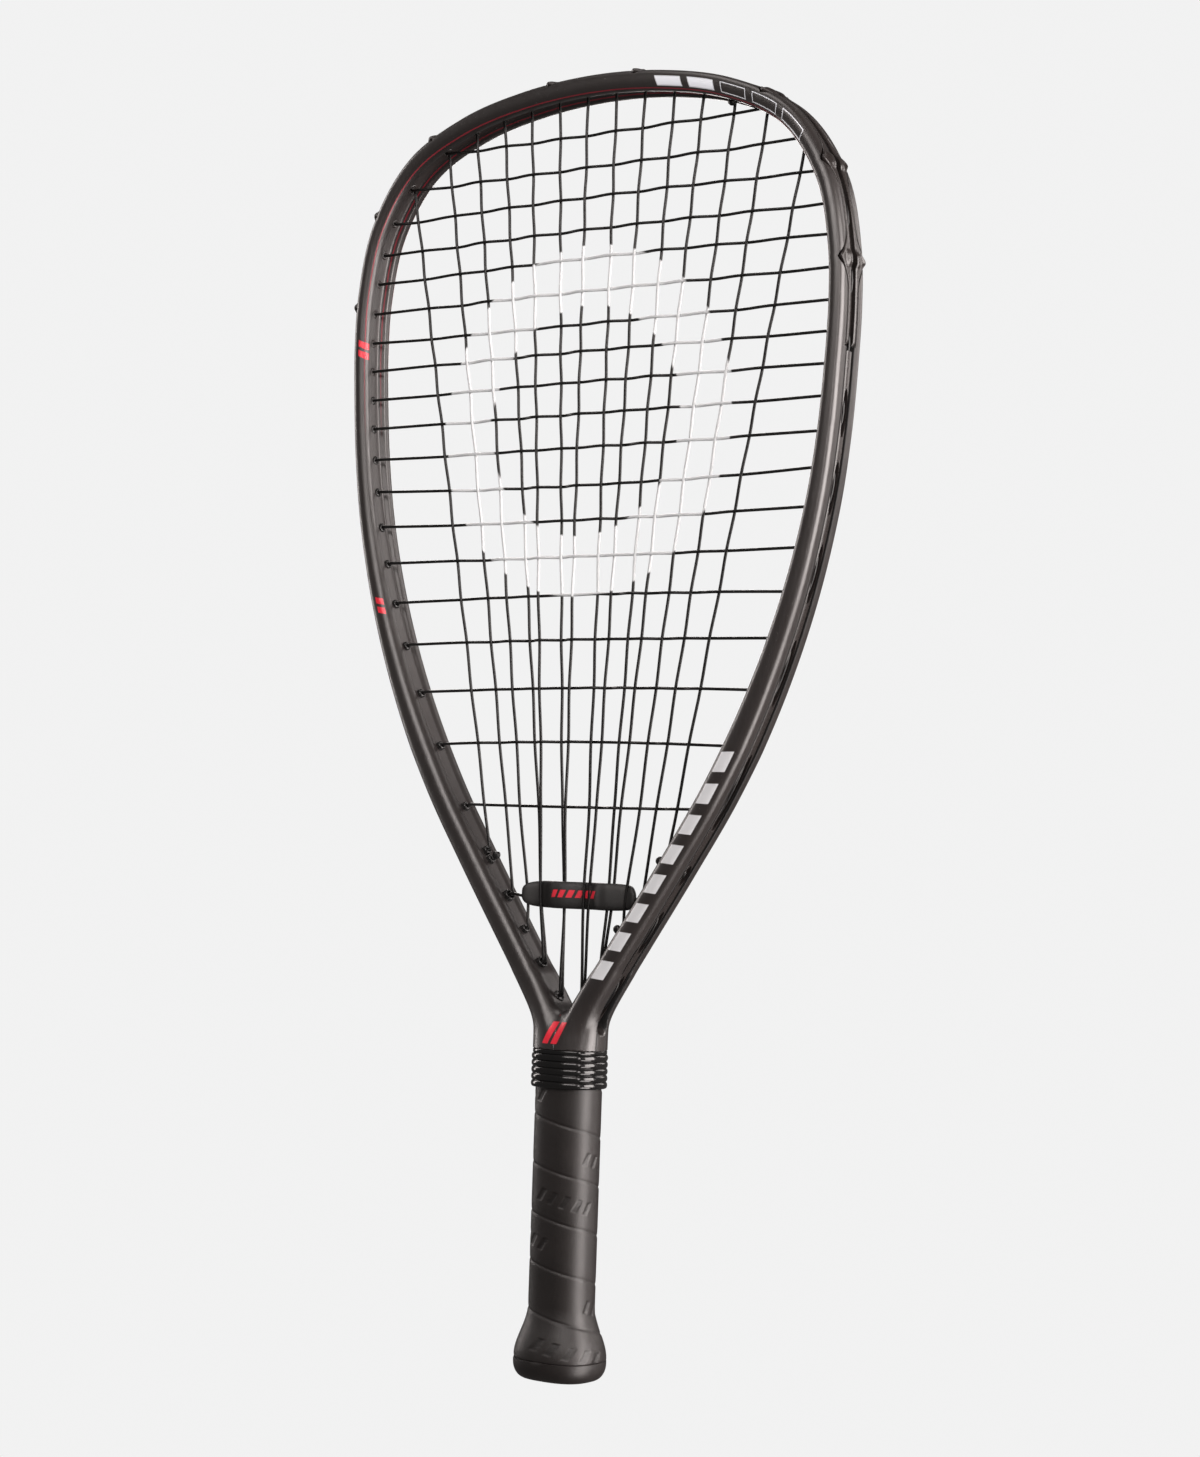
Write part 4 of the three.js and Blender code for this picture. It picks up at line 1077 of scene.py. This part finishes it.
def collar_shape():
    """Five round ribs between foot and lip: the radius rises by a half ellipse at each rib."""
    top = COLLAR_TOP - 1.1
    z = np.linspace(COLLAR_FOOT, top, 100)
    phase = (z - COLLAR_FOOT) / (top - COLLAR_FOOT) * 5
    rise = 0.8 * np.sqrt(np.clip(1 - (2 * (phase % 1) - 1) ** 2, 0, 1))
    z = np.r_[z, top + 0.05, top + 0.2, COLLAR_TOP + 0.3, COLLAR_TOP + 0.6]
    rise = np.r_[rise, 0.2, 0.4, 0.4, 0.2]
    inner = section([14.3, 14.3], [12.0, 12.0], [COLLAR_TOP + 0.6, COLLAR_FOOT])
    return closed(np.r_[section(15.1 + rise, 12.8 + rise, z), inner], loop=True)


GRIP_FOOT, FLARE_TOP, PITCH = 8.6, 31, 20.5
PRESSED = dict(start=14.0, period=5.2, count=5, length=2.1, low=6.6, high=12.2, slant=0.5)
PRESSED_EVERY = 62.0
CAP_TOP, BORE = 22.0, (12.1, 9.8)


def flare(z, inset):
    """The grip's half sizes at a height: they swell by half a cosine towards the butt."""
    swell = (1 + np.cos(np.clip((z - GRIP_FOOT) / (FLARE_TOP - GRIP_FOOT), 0, 1) * np.pi)) / 2
    return [small + (large - small) * swell - inset for small, large in zip(SEAT, FLARE)]


def within(value, low, high):
    """1 between low and high, with edges that ramp over 0.6 mm."""
    return smooth(low - 0.3, low + 0.3, value) * (1 - smooth(high - 0.3, high + 0.3, value))


def grip_shape(sides=176):
    """The outside steps inwards along a helix: phase = height / pitch plus turns."""
    z = np.linspace(GRIP_FOOT, GRIP_TOP, 360)
    outer = section(*flare(z, 0), z, sides)
    x, y, z = outer[..., 0], outer[..., 1], outer[..., 2]
    turns = np.arctan2(y / SEAT[1], x / SEAT[0]) / (2 * np.pi) % 1
    wound = z / PITCH + turns + 0.947
    phase = wound % 1
    length, height = (turns - np.floor(wound)) * 2 * np.pi * 13.0, phase * PITCH
    seam = 0.28 * np.exp(-(np.minimum(phase, 1 - phase) * PITCH / 0.6) ** 2)
    ledge = 0.1 * (1 - smooth(0, 0.22, phase)) * (phase < 0.5)
    ends = 0.5 * smooth(GRIP_TOP - 1.5, GRIP_TOP, z) + 0.12 * (1 - smooth(GRIP_FOOT, 9.2, z))
    strokes = 0.26 * bars(length % PRESSED_EVERY, height, **PRESSED, inside=within)
    shrink = 1 - (seam + ledge + ends + strokes) / np.hypot(x, y)
    outer[..., :2] *= shrink[..., None]
    inner_z = np.array([GRIP_TOP, CAP_TOP + GAP, CAP_TOP + GAP, GRIP_FOOT])
    a, b = flare(inner_z, 1.9)
    a[:2], b[:2] = BORE
    wrap = np.r_[stacked(length, height, 0), np.zeros((4, sides, 3))]
    return closed(np.r_[outer, section(a, b, inner_z, sides)], loop=True), wrap.reshape(-1, 3)


def butt_shape():
    """The cap's rounded rim, flat foot with the lanyard hole, and skirt under the grip."""
    t = np.linspace(0, np.pi / 2, 12)
    inset = np.r_[5.0 * (1 - np.sin(t)), 0, 0.2]
    rim = section(FLARE[0] - inset, FLARE[1] - inset, np.r_[7.0 * (1 - np.cos(t)), 8.3, 8.5])
    skirt_z = np.linspace(8.5, CAP_TOP, 10)
    skirt = section(*flare(skirt_z, 2.2), skirt_z)
    bore = section([BORE[0]] * 2, [BORE[1]] * 2, [CAP_TOP, 4.0])
    hole = section([2.6, 2.6, 3.2], [2.6, 2.6, 3.2], [4.0, 0.6, 0.0], power=2)
    return closed(np.r_[rim, skirt, bore, hole], loop=True)


# %% [markdown]
# ## Finishes of the small parts
# The other parts are moulded plastic or rubber, by one recipe with its own shade, gloss and grain. The
# ring is painted through a stencil, so its mask reads the place in space. The grip's seam and pressed
# strokes are darkened as painted shade, read from the strip's own length and height.

# %% Finishes of the small parts
BLACK_SHADES = (0.004, 0.004, 0.004), (0.008, 0.0077, 0.0075)
DAMPER_SHADES = (0.009, 0.0087, 0.0085), (0.015, 0.0145, 0.014)
GRIP_SHADES = (0.0062, 0.0046, 0.0041), (0.011, 0.0084, 0.0077)
BUTT_SHADES = (0.0062, 0.0047, 0.0043), (0.011, 0.0086, 0.0079)
RING_INK, DAMPER_INK = (0.56, 0.58, 0.59), (0.65, 0.015, 0.035)


def darker(colour, share):
    return tuple(v * share for v in colour)


def plastic(name, shades, rough, grain_mm, depth_mm, marks_and_shade=None, **sockets):
    """Soft shade changes, a fine grain, gloss that follows it, and marks or painted shade on top."""
    m = node_material(name, shades[0], rough, **sockets)
    at = object_place(m.node_tree)
    grain = noise(at, 1 / grain_mm, 3.0, 0.6)
    layers = [(spread(noise(at, 0.06), 0, 1), shades[1]), (spread(grain, 0, 0.3), darker(shades[0], 0.6))]
    base = painted(shades[0], layers + (marks_and_shade(at) if marks_and_shade else []))
    return finish(m, base, spread(grain, rough - 0.06, rough + 0.08), grain, depth_mm)


def ring_mark(at):
    """A plain ring: the distance from its middle lies between two radii."""
    x, _, z = components(at)
    reach = ((x + 4.0) ** 2.0 + (z - 408.0) ** 2.0) ** 0.5
    return [(between(reach, 50, 76, 0.4), RING_INK)]


def bar_mark(at):
    """A short row of slanted bars on the damper's front."""
    x, y, z = components(at)
    return [((y < 0.0) * bars(x, z, -102.0, 3.7, 6, 2.4, 203.2, 206.4, 0.45), DAMPER_INK)]


def wrap_painted_shade(at):
    """Painted shade: the strip's seam, where its height is near 0, and the pressed strokes are made darker.
    """
    along, height, _ = carried(at.tree)
    seam = between(height, 0.28, PITCH - 0.28, 0.16) * -0.75 + 0.75
    strokes = bars(along % PRESSED_EVERY, height, **PRESSED)
    # painted shade: the seam's groove and the pressed strokes are darkened as if shaded in their hollows
    return [(seam, darker(GRIP_SHADES[0], 0.2)), (strokes * 0.5, darker(GRIP_SHADES[0], 0.4))]


guard_plastic = plastic("guard_plastic", LACQUER_SHADES, 0.3, 0.7, 0.04)
grommet_plastic = plastic("grommet_plastic", BLACK_SHADES, 0.24, 0.5, 0.02)
string_coat = plastic("string_coat", BLACK_SHADES, 0.32, 0.4, 0.02, ring_mark, Specular_IOR_Level=0.35)
damper_rubber = plastic("damper_rubber", DAMPER_SHADES, 0.56, 0.35, 0.03, bar_mark)
collar_rubber = plastic("collar_rubber", BLACK_SHADES, 0.14, 0.8, 0.02)
grip_rubber = plastic("grip_rubber", GRIP_SHADES, 0.45, 0.45, 0.08, wrap_painted_shade)
butt_rubber = plastic("butt_rubber", BUTT_SHADES, 0.42, 0.5, 0.05)
print(len(bpy.data.materials), "materials")

# %% [markdown]
# ## Put the pieces in place
# Each surface becomes an object with its finish, and the CAD node that it stands for is hidden. The sharp
# angle keeps real edges crisp, such as the groove's rim, while the rounds stay smooth.

# %% Put the pieces in place
make_piece("frame_moulding", frame_mesh, satin_lacquer, "frame_finish", "frame", sharp=50,
           along=rail_attribute(frame_mesh[0]))
guard_holes = [grommet(h) for h in holes if GUARD_FROM < h["s"] < GUARD_TO]
make_piece("guard_wrap", joined([closed(guard_rings(guard_s))] + guard_holes), guard_plastic,
           "guard_plastic", "bumper_guard", sharp=45)
strip_from, strip_to = GROOVE_FROM + GAP, GUARD_FROM - 2.4
for side, (a, b) in {"left": (strip_from, strip_to), "right": (TOTAL - strip_to, TOTAL - strip_from)}.items():
    loops = [loop for loop in LOOPS if a < min(loop) and max(loop) < b]
    make_piece(f"groove_strip_{side}", strip_shape(a, b, loops), guard_plastic, "grommet_plastic", sharp=45)
    make_piece(f"grommets_{side}", joined([grommet(h) for h in holes if a < h["s"] < b]), grommet_plastic,
               "grommet_plastic", f"grommet_strip_{side}", sharp=45)
for name, path, ends, replaced in (("mains", main_path(), [(hole, 0) for hole in tie_off], "main_string"),
                                   ("crosses", cross_path(), CROSS_ENDS, "cross_string")):
    string = joined([tube(path, STRING)] + [knot(*end) for end in ends])
    make_piece(name, string, string_coat, "string", replaced)
make_piece("damper_bar", damper_shape(), damper_rubber, "damper_rubber", "string_damper")
make_piece("ribbed_collar", collar_shape(), collar_rubber, "collar_rubber", "grip_collar", sharp=60)
grip, wrap = grip_shape()
make_piece("wound_grip", grip, grip_rubber, "grip_rubber", "grip_wrap", along=wrap)
make_piece("butt", butt_shape(), butt_rubber, "butt_rubber", "butt_cap", sharp=45)
